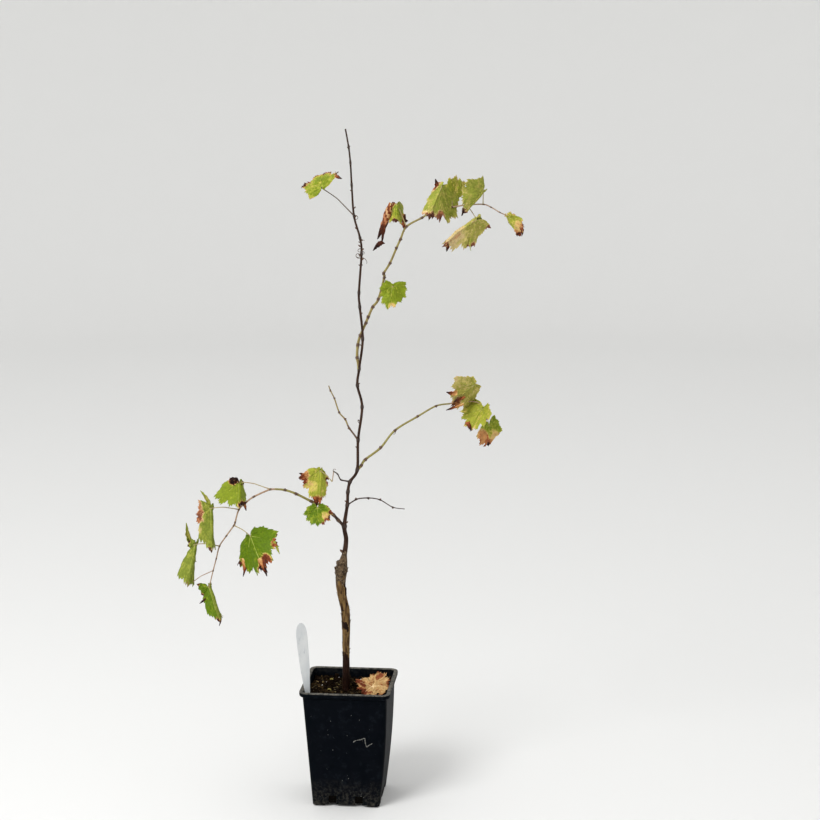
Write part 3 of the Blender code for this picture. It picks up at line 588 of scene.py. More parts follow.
def makeBuds(rng):
    heap = Heap()
    for height, side, size in stemBuds:
        middle, radius = stemAt(height)
        out = vineDirection(side, -0.35, 0.25).normalized()
        way = (out + Vector((0, 0, 0.9))).normalized()
        addLump(heap, middle + out * (radius + size * 0.35 * mm), size * 0.5, size, way, 0, rng, 0.12, 7, 10)
    for name in list(shoots)[:-1]:
        points = limbs[name]
        radii = evenRadii(points, *shoots[name][1:3])
        for index in range(1, len(points) - 1):
            way = wayAt(points, index)
            out = way.cross(vineDirection(0, 1, 0)).normalized() * (1 if index % 2 else -1)
            size = rng.uniform(1.9, 2.4) if name == "twig_right_dry" else rng.uniform(1.1, 1.8)
            addLump(heap, points[index] + out * (radii[index] + 0.3 * mm), size * 0.5, size,
                    (out + way * 1.1).normalized(), 0, rng, 0.12, 6, 9)
    heap.piece("buds", ("budScales",), "dry_twig")


tendrilSizes = {"steps": 28, "thick": 1.24, "thinner": 0.02, "sides": 8}  # thinner: at each step, mm


def makeTendrils(sizes):
    heap, steps = Heap(), sizes["steps"]
    for name, share, lean, swing, length, turns in tendrils:
        points = limbs[name]
        low = min(int(share), len(points) - 2)
        path = [points[low].lerp(points[low + 1], share - low)]
        for step in range(steps):
            way = heading(lean + 360 * turns * (step / steps) ** 1.4, swing)
            path.append(path[-1] + way * length / steps * mm)
        radii = [(sizes["thick"] / 2 - sizes["thinner"] / 2 * step) * mm for step in range(steps + 1)]
        addTube(heap, path, radii, sizes["sides"], 0)
    heap.piece("tendrils", ("dryTendril",), "dry_twig")


makeBuds(random.Random(5))
makeTendrils(tendrilSizes)


# Leaves. Twigs, stalks and midribs are the model's own, and the lobes are cut finer here. A mass has the
# limb and joint that it grows from, its thickness from and to, its internodes and its leaves. A leaf has
# its joint, its stalk (length, lean, swing), its midrib (the same), roll, folds left and right, droop
# (degrees, where on the midrib), lobes in percent (rear left, left, right, rear right, depth between), age
# (0 deep green, 4 yellow, 8 rust, 10 dark), spots (turn, reach and radius in percent of the midrib, age),
# depth of the slits, how far its rim is aged, where the pale under face shows (1 all over, -1 left), and
# how far it narrows beside its stalk.


masses = {
    "stem_top": ("stem", 22, 1.9, 1.7, (), (
        (0, (69, -48, -13), (44, -2, 37), -10, (13, -21), (34, 0.2), (60, 95, 80, 13, 10), 2.4, (
         (0, 95, 18, 8.2), (-62, 95, 24, 9.4), (-44, 93, 18, 7.6), (-22, 94, 18, 8.2), (20, 93, 18, 7.8),
         (40, 86, 17, 8.2), (62, 80, 16, 9.4), (110, 60, 12, 8)), 0.03, 7, 0),
    )),
    "bough_elbow": ("bough_right_high", 13, 2, 1.8, (), (
        (0, (40, -25, 15), (38, 182, -45), 0, (74, 68), (3, 0.2), (95, 95, 85, 30, 5), 2.5, (
         (-58, 85, 20, 9.4), (-75, 88, 20, 9), (-40, 85, 14, 8), (0, 97, 20, 9), (118, 20, 16, 8)),
         0.1, 4, 0),
    )),
    "bough_round": ("bough_right_high", 7, 1.9, 1.7, (), (
        (0, (37, 45, -28), (37, 193, -23), -6, (12, 12), (9, 0.3), (65, 75, 60, 40, 5), 1.6, (
         (-24, 100, 13, 8.8), (-12, 88, 18, 4.6), (-30, 88, 14, 4.4), (-8, 100, 8, 7.4), (-58, 80, 9, 6)),
         0.04, 1.3, 0),
    )),
    "right_high": ("bough_right_high", "tip", 2.8, 1.5, (
        (16, 74, -6), (18, 79, -13), (23, 81, -10), (26, 87, -7), (13, 109, -8), (16, 120, -7),
        (11, 113, -11)), (
        (1, (39, 1, -20), (66, -156, -34), 167, (-70, -20), (15, 0.55), (30, 35, 85, 60, 10), 2.2, (
         (-104, 31, 20, 7.6), (0, 98, 22, 9), (22, 80, 17, 8.2), (-20, 85, 16, 5.4)), 0.05, 1.8, 1),
        (2, (18, -1, 19), (34, 47, 17), 11, (-15, 24), (76, 0.5), (65, 90, 45, 80, 5), 3.2, (
         (0, 100, 14, 9.4), (58, 80, 8, 8)), 0.05, 1.6, 0),
        (4, (23, 1, -7), (54, -137, -35), -4, (155, -25), (21, 0.25), (35, 90, 75, 40, 20), 2.3, (
         (0, 100, 16, 9.6), (58, 86, 14, 8.6), (-58, 90, 8, 8.2), (80, 80, 8, 8.4)), 0.05, 2, 1),
        (3, (30, 145, -28), (76, -122, -21), 161, (-155, -14), (22, 0.45), (30, 75, 65, 45, 15), 3.1, (
         (0, 98, 16, 8.4), (58, 65, 14, 8), (118, 45, 10, 8), (-58, 75, 16, 7.6), (0, 60, 30, 5)),
         0.05, 2, 0),
        (7, (5, 129, -15), (36, 150, 3), 30, (-17, 66), (20, 0.35), (40, 80, 75, 30, 10), 3.2, (
         (0, 102, 26, 8.2), (0, 80, 20, 5.6), (58, 75, 12, 7.6), (-30, 70, 30, 5.2), (-50, 80, 16, 7.4)),
         0.05, 3, 0),
    )),
    "right_low": ("bough_right_low", "tip", 2.4, 1.4, ((24, 83, 12), (25, 97, 4), (20, 145, -8)), (
        (1, (36, 27, -22), (51, -129, -11), 147, (0, -12), (11, 0.45), (30, 90, 105, 35, 15), 3.3, (
         (0, 102, 18, 8.6), (6, 76, 16, 7), (-58, 90, 30, 4.4), (-70, 100, 12, 7.4)), 0.12, 2, 0),
        (2, (14, 146, -51), (45, -148, -34), 8, (-72, 41), (10, 0.35), (35, 100, 86, 76, 10), 2.8, (
         (0, 100, 16, 9.6), (58, 95, 10, 8), (-58, 90, 8, 8), (30, 50, 12, 0)), 0.05, 2, 0),
        (3, (21, 166, -30), (39, 169, -9), -34, (20, -12), (62, 0.4), (65, 85, 95, 30, 5), 2.3, (
         (40, 70, 40, 6.2), (14, 80, 30, 6.8), (26, 95, 16, 8.4), (4, 100, 20, 9.8), (-20, 66, 36, 5),
         (-50, 90, 18, 6.8)), 0.03, 2, 0),
    )),
    "stub": ("stub_left", "tip", 1.5, 1.5, ((18, -176, 3),), (
        (1, (27, -49, 10), (54, -178, -24), -2, (58, -8), (20, 0.6), (12, 45, 72, 14, 8), 2.7, (
         (60, 68, 20, 8), (70, 50, 16, 6.2), (0, 98, 20, 7.4), (-58, 46, 15, 8.4), (26, 55, 18, 4.4),
         (-30, 75, 12, 7.6)), 0.02, 4, 0),
    )),
    "fork": ("bough_left", 3, 1.8, 1.6, (), (
        (0, (24, -62, -68), (31, 179, -28), 5, (4, 10), (4, 0.5), (35, 88, 82, 35, -6), 1.3, (
         (-50, 84, 14, 8.8), (-40, 60, 22, 4.4), (-100, 60, 14, 9), (-20, 95, 12, 8.6), (-68, 74, 13, 8.4),
         (-32, 82, 12, 7.6)), 0.03, 2, 0),
    )),
    "left": ("bough_left", "tip", 3, 1.6, (
        (7, -90, -14), (29, -112, -14), (16, -125, -11), (16, -134, -11), (22, -163, -8), (5, -158, -11),
        (21, -144, -8), (20, -146, -9), (21, -165, -8), (20, -165, -6), (25, -166, -5)), (
        (1, (53, -74, -11), (45, 179, -38), 8, (92, 14), (2, 0.7), (25, 70, 105, 42, 5), 1.5, (
         (-16, 96, 24, 10), (118, 25, 18, 10), (-118, 25, 12, 9.6)), 0.03, 1.3, 0),
        (4, (46, -88, 1), (75, 178, -36), 3, (119, -13), (6, 0.65), (20, 95, 35, 30, 15), 1.2, (
         (58, 37, 18, 7.6), (100, 32, 14, 6.6), (34, 56, 8, 9), (0, 100, 10, 9), (28, 62, 12, 3.6)),
         0.03, 1.3, 1),
        (8, (40, -86, 1), (66, -169, -22), 2, (103, 25), (3, 0.35), (30, 85, 20, 16, -15), 1.1, (
         (100, 19, 5, 10), (70, 21, 5, 10), (50, 30, 5, 10), (0, 100, 4, 8)), 0.2, 1, 1, 0.62),
        (11, (3, -157, -9), (59, 161, -25), 2, (131, 3), (6, 0.45), (30, 125, 30, 35, 15), 0.7, (
         (58, 30, 6, 9), (0, 100, 10, 9.4), (118, 35, 7, 8)), 0.03, 1.3, -1),
        (6, (33, 119, -19), (67, 153, -34), 22, (10, 23), (6, 0.45), (25, 80, 90, 25, 5), 0.6, (
         (66, 90, 16, 9.4), (2, 98, 20, 9.8), (-8, 78, 18, 8), (-56, 90, 20, 9.4), (-46, 72, 12, 7.4)),
         0.04, 1.3, 0),
    )),
}
leafParts = ("length", "folds", "droop", "lobes", "age", "spots", "sinus", "rim", "pale", "waist")
leafLooks = {
    "seed": 7, "lobeTurns": (0, 58, 118, 163), "notchReach": 0.12, "toothDeep": 0.085, "coarseTurns": 27,
    "crowding": 1.15, "foldRound": 3.0, "foldEase": 0.3, "droopRound": 12.0, "waveHigh": 0.05, "waveFrom": 25,
    "turnsBetween": 8,          # directions between two of the model's
    "rings": 30,
    "thick": 0.4,               # mm
    "veinHigh": 0.6, "veinWide": 0.8,
    "veinFrom": (0.74, 0.62),   # share of a vein from which a face is tinted as one: upper, under
    "dryVeinAge": 4, "dryAges": (5, 9), "raggedAges": (6, 9),
    "quilt": 1.5,               # how far the blade puffs up between veins, mm
    "crinkle": 1.2,
    "blotch": 1.5,              # how far the age wanders over a blade
    "curl": 1.7,                # how far dead parts lift, mm
    "smallTeeth": 0.08,         # depth of the small teeth as a share of the reach
    "slits": ((29, 1), (88, 0.8)),  # directions of the slits between lobes, and their share of the depth
    "slitWide": 6.5,            # half width of a slit, degrees
    "waistTurn": 42, "waistWide": 13,
    "ragged": 0.04,             # how far dead rims are eaten away
}
# Tones of a leaf from fresh to dead: upper face, then under face
leafTones = {
    "Deep": ((58, 84, 6), (94, 110, 42)), "Green": ((86, 110, 14), (114, 125, 45)),
    "Fresh": ((118, 132, 30), (138, 144, 57)), "Lime": ((148, 152, 52), (161, 155, 74)),
    "Yellow": ((184, 170, 84), (190, 176, 104)), "Straw": ((202, 170, 106), (204, 182, 130)),
    "Tan": ((182, 130, 80), (190, 148, 106)), "Orange": ((150, 86, 48), (166, 110, 74)),
    "Rust": ((104, 50, 28), (122, 74, 52)), "Brown": ((68, 34, 22), (84, 52, 40)),
    "Dark": ((38, 20, 16), (50, 32, 28)),
}


def addLeafFinish(name, color, roughness):
    # a base tone with a faint mottle of itself
    light, dark = [[min(255, value * share) for value in color] for share in (1.12, 0.86)]
    addFinish(name, (color, light, dark), roughness, (230, 1.0, 0.4, 0.62), (1500, 0.45, 1.0),
              (0.5, 0.3), 0.1)
    return name


leafFinishes = []
for toneName, faceTones in leafTones.items():
    for faceName, faceTone, faceRoughness in zip(("Upper", "Under"), faceTones, (0.5, 0.7)):
        leafFinishes.append(addLeafFinish("vineLeaf" + toneName + faceName, faceTone, faceRoughness))
veinSlot = len(leafFinishes)
leafFinishes += [addLeafFinish("leafVein", (146, 154, 70), 0.5),
                 addLeafFinish("leafVeinDry", (178, 134, 86), 0.6)]
addFinish("petiole", ((172, 160, 108), (152, 122, 84), (124, 88, 62)), 0.5, (300, 0.3, 0.42, 0.64),
          (1400, 0.2, 0.3), (0.3, 0.2))


def reachAt(turn, lobes, looks):
    # how far the edge is from the stalk in one direction, as a share of the midrib
    side, rear = (lobes[1], lobes[0]) if turn < 0 else (lobes[2], lobes[3])
    stations = list(zip(looks["lobeTurns"], (1.0, side, rear, looks["notchReach"])))
    for (low, lowReach), (high, highReach) in zip(stations, stations[1:]):
        if abs(turn) <= high:
            share = (abs(turn) - low) / (high - low)
            dip = 1 - lobes[4] * sin(pi * share) ** 1.5
            ease = share * share * (3 - 2 * share)
            return (lowReach + (highReach - lowReach) * ease) * dip
    return looks["notchReach"]


def bladeEdge(leaf, looks, rng, fine):
    # directions round the blade and the reach of its edge in each, in mm: saw teeth that lean towards the
    # tip of their lobe, and slits between the lobes
    half, count = looks["coarseTurns"] // 2, looks["turnsBetween"]
    coarse = [looks["lobeTurns"][-1] * copysign((abs(step) / half) ** looks["crowding"], step)
              for step in range(-half, half + 1)]
    teeth = [looks["toothDeep"] * (1 if index % 2 else -1) * rng.uniform(0.6, 1.2)
             for index in range(len(coarse))]
    turns, reaches = [], []
    for index in range(len(coarse)):
        after = min(index + 1, len(coarse) - 1)
        for number in range(count if after > index else 1):
            t = number / count
            turn = coarse[index] + (coarse[after] - coarse[index]) * t
            tooth = teeth[index] + (teeth[after] - teeth[index]) * t
            if number % 4 == 0:
                depth = looks["smallTeeth"] * fine.uniform(0.7, 1.3)
            lobe = min(looks["lobeTurns"][:3], key=lambda tip: abs(abs(turn) - tip))
            saw = t * 2 % 1 / 0.75
            saw = saw if (abs(turn) < lobe) == (turn > 0) else 1 - saw
            slit = sum(deep * bell(abs(turn) - middle, looks["slitWide"]) for middle, deep in looks["slits"])
            edge = (1 + tooth - depth * (1 - saw)) * (1 - leaf["sinus"] * slit)
            edge *= 1 - leaf["waist"] * bell(abs(turn) - looks["waistTurn"], looks["waistWide"])
            turns.append(turn)
            reaches.append(leaf["length"] * reachAt(turn, leaf["lobes"], looks) * edge)
    return np.radians(turns), np.array(reaches)


def noiseGrid(x, y, scale, seed):
    values = np.empty(x.shape)
    for index in np.ndindex(x.shape):
        values[index] = noise.noise(Vector((x[index] / scale, y[index] / scale, seed)))
    return values


def shareOf(age, ages):
    return np.clip((age - ages[0]) / (ages[1] - ages[0]), 0, 1)


def ageAt(x, y, ring, leaf, seed):
    # how old the colour is at places on the flat blade
    length = leaf["length"]
    blotch = noiseGrid(x, y, 11.0, seed + 7) + 0.6 * noiseGrid(x, y, 4.2, seed + 11)
    margin = np.maximum(0, ring - 0.88) / 0.12 * (0.35 + 1.6 * noiseGrid(x, y, 6.0, seed + 17))
    age = leaf["age"] + leaf["blotch"] * (blotch + 0.8 * noiseGrid(x, y, 2.6, seed + 23))
    age = age + leaf["rim"] * np.maximum(0, margin)
    for turn, far, radius, target in leaf["spots"]:
        turn, far = radians(turn), far / 100 * length
        gap = np.hypot(x - far * sin(turn), y - far * cos(turn)) / (radius / 100 * length) + 0.45 * blotch
        inside = np.clip((1.2 - gap) / 0.32, 0, 1)
        age = np.maximum(age, leaf["age"] + (target + 1.2 * blotch - leaf["age"]) * inside)
    return np.clip(age, 0, len(leafTones) - 1)


def veinShare(x, y, leaf, looks):
    # 1 on a vein of the flat blade, falling to 0 beside it
    lines = []  # start, end, width at both
    for turn in (0, -52, 52, -112, 112):
        reach = leaf["length"] * reachAt(turn, leaf["lobes"], looks) * 0.97
        way = np.array((sin(radians(turn)), cos(radians(turn))))
        lines.append((np.zeros(2), way * reach, 1.0, 0.35))
        count = max(3, round(reach / 7))
        for number in range(1, count + 1):
            for sign in (-1, 1):
                start = way * reach * (number - 0.35 + 0.18 * sign) / (count + 0.6)
                angle = radians(turn + sign * (42 - 8 * number / count))
                run = reach * (0.46 - 0.3 * number / count) + 4
                lines.append((start, start + np.array((sin(angle), cos(angle))) * run, 0.5, 0.25))
    best = np.zeros_like(x)
    for start, end, first, last in lines:
        along = end - start
        t = np.clip(((x - start[0]) * along[0] + (y - start[1]) * along[1]) / (along @ along), 0, 1)
        gap = np.hypot(x - start[0] - along[0] * t, y - start[1] - along[1] * t)
        width = first + (last - first) * t
        best = np.maximum(best, width ** 0.5 * np.exp(-(gap / (looks["veinWide"] * width)) ** 2))
    return best


def bendStrip(run, degrees, roundOff):
    # where a strip bent through an arc lands: distance along and depth below its start
    sweep = np.radians(np.abs(degrees))
    angle = np.clip(run / roundOff, 0, sweep)
    rest = np.maximum(run - roundOff * sweep, 0)
    along = roundOff * np.sin(angle) + rest * np.cos(sweep)
    below = roundOff * (1 - np.cos(angle)) + rest * np.sin(sweep)
    return np.where(run > 0, along, run), np.where(run > 0, np.sign(degrees) * below, 0.0)


def bendBlade(side, along, lift, leaf, looks):
    # fold the flat blade about the midrib, then let it droop across it
    fold = np.where(side < 0, leaf["folds"][0], leaf["folds"][1]).astype(float)
    fold = fold * (1 - looks["foldEase"] * np.clip(along / leaf["length"], 0, 1))
    out, below = bendStrip(np.abs(side), fold, looks["foldRound"])
    lift = lift - below
    droop, place = leaf["droop"]
    start, sweep = place * leaf["length"], radians(droop)
    run, drop = bendStrip(along - start, np.full_like(side, droop), looks["droopRound"])
    angle = sweep * np.clip((along - start) / (looks["droopRound"] * sweep), 0, 1)
    return np.stack((np.where(side < 0, -out, out), start + run + lift * np.sin(angle),
                     -drop + lift * np.cos(angle)), -1)


def leafMatrix(joint, lean, swing, roll):
    rib, viewer = heading(lean, swing), vineDirection(0, -1, 0)
    upper = (viewer - rib * viewer.dot(rib)).normalized()
    upper.rotate(Matrix.Rotation(radians(roll), 3, rib))
    place = Matrix((rib.cross(upper), rib, upper)).transposed().to_4x4()
    place.translation = joint
    return place


def addLeaf(heap, place, leaf, rng, seed, cell, looks=leafLooks):
    # one blade as a thin closed shell with raised veins, coloured face by face; cell is its number on the
    # bake layer and how many there are
    phase, fine = rng.uniform(0, 2 * pi), random.Random(seed)
    angles, reaches = bladeEdge(leaf, looks, rng, fine)
    count, rings = len(angles), looks["rings"]
    edgeAge = ageAt(reaches * np.sin(angles), reaches * np.cos(angles), np.ones(count), leaf, seed)
    bites = np.repeat([fine.uniform(0, 1) for _ in range(count // 3 + 1)], 3)[:count]
    reaches = reaches * (1 - looks["ragged"] * shareOf(edgeAge, looks["raggedAges"]) * bites)
    ring, angle = np.meshgrid(np.linspace(0, 1, rings + 1)[1:] ** 0.85, angles, indexing="ij")
    x, y = ring * reaches * np.sin(angle), ring * reaches * np.cos(angle)
    wave = looks["waveHigh"] * leaf["length"] * ring * np.sin(angle * 4 + phase)
    wave = wave * np.minimum(1, np.abs(np.degrees(angle)) / looks["waveFrom"])
    vein = veinShare(x, y, leaf, looks)
    crinkle = noiseGrid(x, y, 9.0, seed) + 0.5 * noiseGrid(x, y, 4.0, seed + 3)
    age = ageAt(x, y, ring, leaf, seed)
    dry = shareOf(age, looks["dryAges"])

    middle = bendBlade(x, y, wave, leaf, looks)
    normals = np.cross(np.gradient(middle, axis=1), np.gradient(middle, axis=0))
    normals = normals / np.maximum(np.linalg.norm(normals, axis=-1, keepdims=True), 1e-9)
    bumps = looks["quilt"] * (1 - vein) + looks["crinkle"] * (0.6 + 1.6 * dry) * crinkle
    bumps = bumps + looks["curl"] * dry * ring ** 2 * (0.4 + 1.5 * crinkle)
    middle = middle + normals * (bumps * np.minimum(1, ring * 3))[..., None]
    upper = middle + normals * looks["thick"] / 2
    under = middle - normals * (looks["thick"] / 2 + looks["veinHigh"] * vein * (1.1 - 0.6 * ring))[..., None]
    joint = bendBlade(np.zeros(1), np.zeros(1), np.zeros(1), leaf, looks)
    matrix = np.array(place)
    upper, under, joint = [part.reshape(-1, 3) * mm @ matrix[:3, :3].T + matrix[:3, 3]
                           for part in (upper, under, joint)]
    rise = matrix[:3, 2] * looks["thick"] / 2 * mm
    verts = np.concatenate((upper, under, joint + rise, joint - rise))
    total = rings * count
    topMiddle, lowMiddle = 2 * total, 2 * total + 1

    # places on the bake layer: a cell for the upper face and one for the under face
    columns = ceil(sqrt(2 * cell[1]))
    spread = [(values - values.min()) / (values.max() - values.min()) * 0.92 + 0.04 for values in (x, y)]
    flat = []
    for face in (0, 1):
        row, column = divmod(2 * cell[0] + face, columns)
        places = np.stack(((spread[0] + column) / columns, (spread[1] + row) / columns), -1)
        flat.append(places.reshape(-1, 2))
    flat = np.concatenate((*flat, [part[:count].mean(0) for part in flat]))
    faces, colors, cells = [], [], []
    ages = np.round(age).astype(int)

    def addFace(corners, row, column, below, onto=None):
        here = ages[row, column]
        pale = leaf["pale"] == 1 or leaf["pale"] * x[row, column] > 0
        onVein, dryVein = vein[row, column] > looks["veinFrom"][below], here > looks["dryVeinAge"]
        faces.append(corners)
        colors.append(veinSlot + int(dryVein) if onVein else 2 * here + int(below or pale))
        cells.extend(flat[index] for index in (onto or corners))

    for row in range(rings - 1):
        for column in range(count - 1):
            a, b = row * count + column, row * count + column + 1
            addFace((a, a + count, b + count, b), row, column, 0)
            addFace((total + a, total + b, total + b + count, total + a + count), row, column, 1)
    for column in range(count - 1):
        addFace((topMiddle, column, column + 1), 0, column, 0)
        addFace((lowMiddle, total + column + 1, total + column), 0, column, 1)
    rim = [topMiddle, *range(0, total, count), *range(total - count + 1, total)]
    rim += range(total - count - 1, 0, -count)
    for one, two in zip(rim, rim[1:] + rim[:1]):
        lower = [lowMiddle if index == topMiddle else total + index for index in (one, two)]
        addFace((one, *lower, two), *divmod(min(one, total - 1), count), 0, (one, one, two, two))
    heap.add([Vector(vert) for vert in verts], faces, colors, cells)


def stalkPoints(start, length, lean, swing):
    way = heading(lean, swing)
    return [start, start + way * length * 0.5 * mm + Vector((0, 0, 1)) * length * 0.06 * mm,
            start + way * length * mm]


def addStalk(heap, points, thick, place, leaf, color):
    # from the joint to the blade, then a little way along the midrib's under face
    ribs = []
    for share in (0.05, 0.16):
        along = np.array([leaf["length"] * share])
        flat = bendBlade(np.zeros(1), along, np.array([-0.45]), leaf, leafLooks)[0]
        ribs.append(place @ (Vector(flat) * mm))
    middles = smoothRun(points + ribs, 1.2)[0]
    length = sum((two - one).length for one, two in zip(middles, middles[1:]))
    radii, done = [], 0.0
    for index, point in enumerate(middles):
        done += (point - middles[index - 1]).length if index else 0.0
        share = done / length
        swell = 0.55 * bell(share, 0.07) + 0.25 * bell(share - 0.86, 0.07)
        thin = 1 - 0.2 * share - 0.55 * max(0.0, (share - 0.88) / 0.12)
        radii.append(thick / 2 * mm * (thin + swell))
    addTube(heap, middles, radii, 12, color)


twigLooks = dict(shootLooks, sides=16, collar=0, ridges=0, jointFrom=0.55)
spareStalk = (10, 44, -120, -7)  # on the left mass: a stalk whose blade is one that is there already


def makeMass(name, carrier, place, thick, thin, internodes, leaves, number):
    rng = random.Random(leafLooks["seed"] + number)
    twigs, blades = Heap(), Heap()
    if place == "tip":
        # the shoot's last stretch runs on from the bough with no step
        way = wayOut(limbs[carrier])
        points = follow(limbs[carrier][-1] + way * clear * mm, internodes)
        path = [points[0] - way * 1.5 * mm] + points[1:]
        addShoot(twigs, path, thick, thin, twigLooks, lambda share, side: 1)
    else:
        points = [limbs[carrier][place]]
    for index, (joint, stalk, (length, lean, swing), roll, *values) in enumerate(leaves):
        leaf = dict(zip(leafParts, (length, *values)), blotch=leafLooks["blotch"])
        leaf = {"waist": 0, **leaf, "lobes": [reach / 100 for reach in leaf["lobes"]]}
        stalk = stalkPoints(points[joint], *stalk)
        matrix = leafMatrix(stalk[-1], lean, swing, roll)
        addStalk(twigs, stalk, thin, matrix, leaf, 2 if name == "stem_top" else 0)
        addLeaf(blades, matrix, leaf, rng, number * 31 + index * 7, (index, len(leaves)))
    if name == "left":
        middles, shares = smoothRun(stalkPoints(points[spareStalk[0]], *spareStalk[1:]), 1.2)
        addTube(twigs, middles, [thin / 2 * mm * (0.9 - 0.1 * share) for share in shares], 12, 1)
    twigs.piece("twigs_" + name, ("petiole", "pinkShoot", "shootNode"), "olive_shoot", "foliage_" + name)
    blades.piece("leaves_" + name, leafFinishes, "vine_leaf", "foliage_" + name)


# Dead bits that curl away from the blades: base and tip as (right, away, up), width, tones along them
deadBits = (
    (176, 22, 682, 160, 21, 683, 8, 0), (188, 33, 671, 171, 23, 666, 8, 1),
    (186, 27, 663, 160, 23, 652, 9, 0), (196, 32, 629, 201, 21, 619, 8, 1),
    (-167, -43, 511, -163, -49, 501, 5, 0), (-175, -37, 540, -188, -30, 548, 8, 2),
    (-178, -36, 546, -178, -34, 553, 8, 2), (-223, -34, 502, -238, -33, 531, 7, 3),
    (-252, -33, 436, -262, -36, 479, 9, 3), (-231, -60, 356, -240, -61, 349, 5, 2),
    (-208, -72, 332, -207, -79, 317, 4, 1), (-138, -77, 428, -128, -88, 403, 9, 0),
    (-169, -42, 418, -170, -50, 392, 7, 0), (-115, -76, 455, -108, -82, 438, 5, 3),
    (161, -58, 934, 158, -68, 922, 7, 1), (197, -60, 940, 197, -60, 922, 3, 3),
    (143, -48, 1018, 141, -38, 1034, 8, 1), (275, -62, 959, 276, -52, 946, 6, 1),
    (-71, -10, 552, -80, -9, 555, 5, 1), (-71, -11, 546, -80, -12, 547, 7, 1),
    (-54, -14, 515, -51, -15, 501, 8, 1), (-14, -20, 1037, -6, -21, 1033, 6, 1),
    (-60, -13, 1009, -57, -17, 999, 4, 3), (70, -27, 993, 49, -27, 938, 15, 4),
    (69, -26, 985, 57, -27, 930, 10, 4), (57, -27, 932, 43, -27, 918, 9, 2),
    (89, -27, 962, 92, -24, 950, 5, 1),
)
deadTones = (
    (10, 12, 12, 14, 16, 20), (14, 14, 16, 16, 18, 20), (18, 18, 20, 20), (5, 5, 7, 5),
    (11, 14, 16, 13, 16, 15, 16, 18, 18, 20),
)


deadLooks = {
    "steps": 28, "arc": 9, "halfTurn": 115, "twist": 0.8, "bend": 0.12,
    "thick": 0.35, "least": 0.1,  # mm
    "inside": 2.5,              # how far a bit starts within its blade, mm
}


def makeDeadBits(looks, rng):
    # rolled strips that narrow to a bent tip
    heap, steps, arc = Heap(), looks["steps"], looks["arc"]
    for number, (*ends, width, color) in enumerate(deadBits):
        start, end = vinePoint(*ends[:3]), vinePoint(*ends[3:])
        way = (end - start).normalized()
        start = start - way * looks["inside"] * mm
        side = squareTo(way, vineDirection(1, 0.3, 0.4))
        other = way.cross(side)
        bend = rng.uniform(-looks["bend"], looks["bend"]) * (end - start).length
        rings, along = [], deadTones[color]
        for step in range(steps + 1):
            share = step / steps
            middle = start.lerp(end, share) + (side * sin(pi * share) + other * share ** 2) * bend
            half = width / 2 * mm * (1 - 0.88 * share ** 2.2)
            half *= min(1, 0.3 + 2.4 * share) if color == 4 else 1
            row = []
            for shell in (1.0, -1.0):
                for index in range(arc):
                    turn = radians(looks["halfTurn"]) * (2 * index / (arc - 1) - 1) * shell
                    turn += share * looks["twist"]
                    place = Vector((cos(turn) * 1.6, sin(turn) * 1.6, step / 3.2 + number * 9))
                    out = half * (1 + 0.5 * noise.noise(place)) - (looks["thick"] * mm if shell < 0 else 0)
                    out = max(out, looks["least"] * mm)
                    row.append(middle + (side * sin(turn) + other * cos(turn) * 0.7) * out)
            rings.append(row)
        addLoft(heap, rings, lambda ring, side: along[min(len(along) - 1,
                                                          int(len(along) * (ring + side * 5 % 7) / steps))])
    heap.piece("dead_bits", leafFinishes, "vine_leaf", outward=True)


for massNumber, (massName, mass) in enumerate(masses.items()):
    makeMass(massName, *mass, massNumber)
makeDeadBits(deadLooks, random.Random(3))
print("leaves ready")


# Pot


potSizes = {
    "height": 200.0, "wall": 1.6, "baseHalf": 55.5, "topHalf": 70.0, "baseRound": 6.5, "topRound": 9.0,
    "lipOut": 5.0, "lipDeep": 9.0, "lipRound": 1.2, "footHigh": 4.5, "footWide": 15.0, "footFromMiddle": 43.0,
    "padHalf": 10.0, "slotWide": 13.0, "slotHigh": 15.0, "slotFromMiddle": 22.0, "slotIntoFloor": 4.0,
    "floorThick": 2.0, "cornerSteps": 9, "sideSteps": 12, "wallSteps": 16, "bow": 0.5, "bulge": 3.2,
    "sharp": 38, "specks": 90, "specksFrom": 8, "specksTo": 188,
}
addFinish("potPlastic", ((5, 8, 13), (9, 12, 17), (15, 19, 24)), 0.5, (30, 1.0, 0.35, 0.7), (500, 0.3, 1.0),
          (0.3, 0.2), 0.015, ((92, 88, 78), 1.0, 210, 0.05))
# a paler grey finish for the faces on top of the lip
addFinish("paleLipTop", ((64, 64, 62), (108, 104, 96), (24, 27, 30)), 0.75, (110, 1.0, 0.38, 0.6),
          (500, 0.3, 1.0), (0.4, 0.3), 0.05)
addFinish("driedMud", ((128, 128, 122), (92, 92, 90)), 0.9, (400, 1.0, 0.4, 0.6),
          (900, 0.4, 1.0), (0.5, 0.3), 0.1)
scuff = ((14.0, 115.9), (17.5, 118.4), (21.1, 119.6), (27.0, 120.8), (32.9, 123.2), (34.0, 115.9),
         (36.3, 108.6), (39.9, 111.1), (45.7, 114.7))  # x and z on the front wall


def potHalf(height, sizes):
    return sizes["baseHalf"] + (sizes["topHalf"] - sizes["baseHalf"]) * height / sizes["height"]


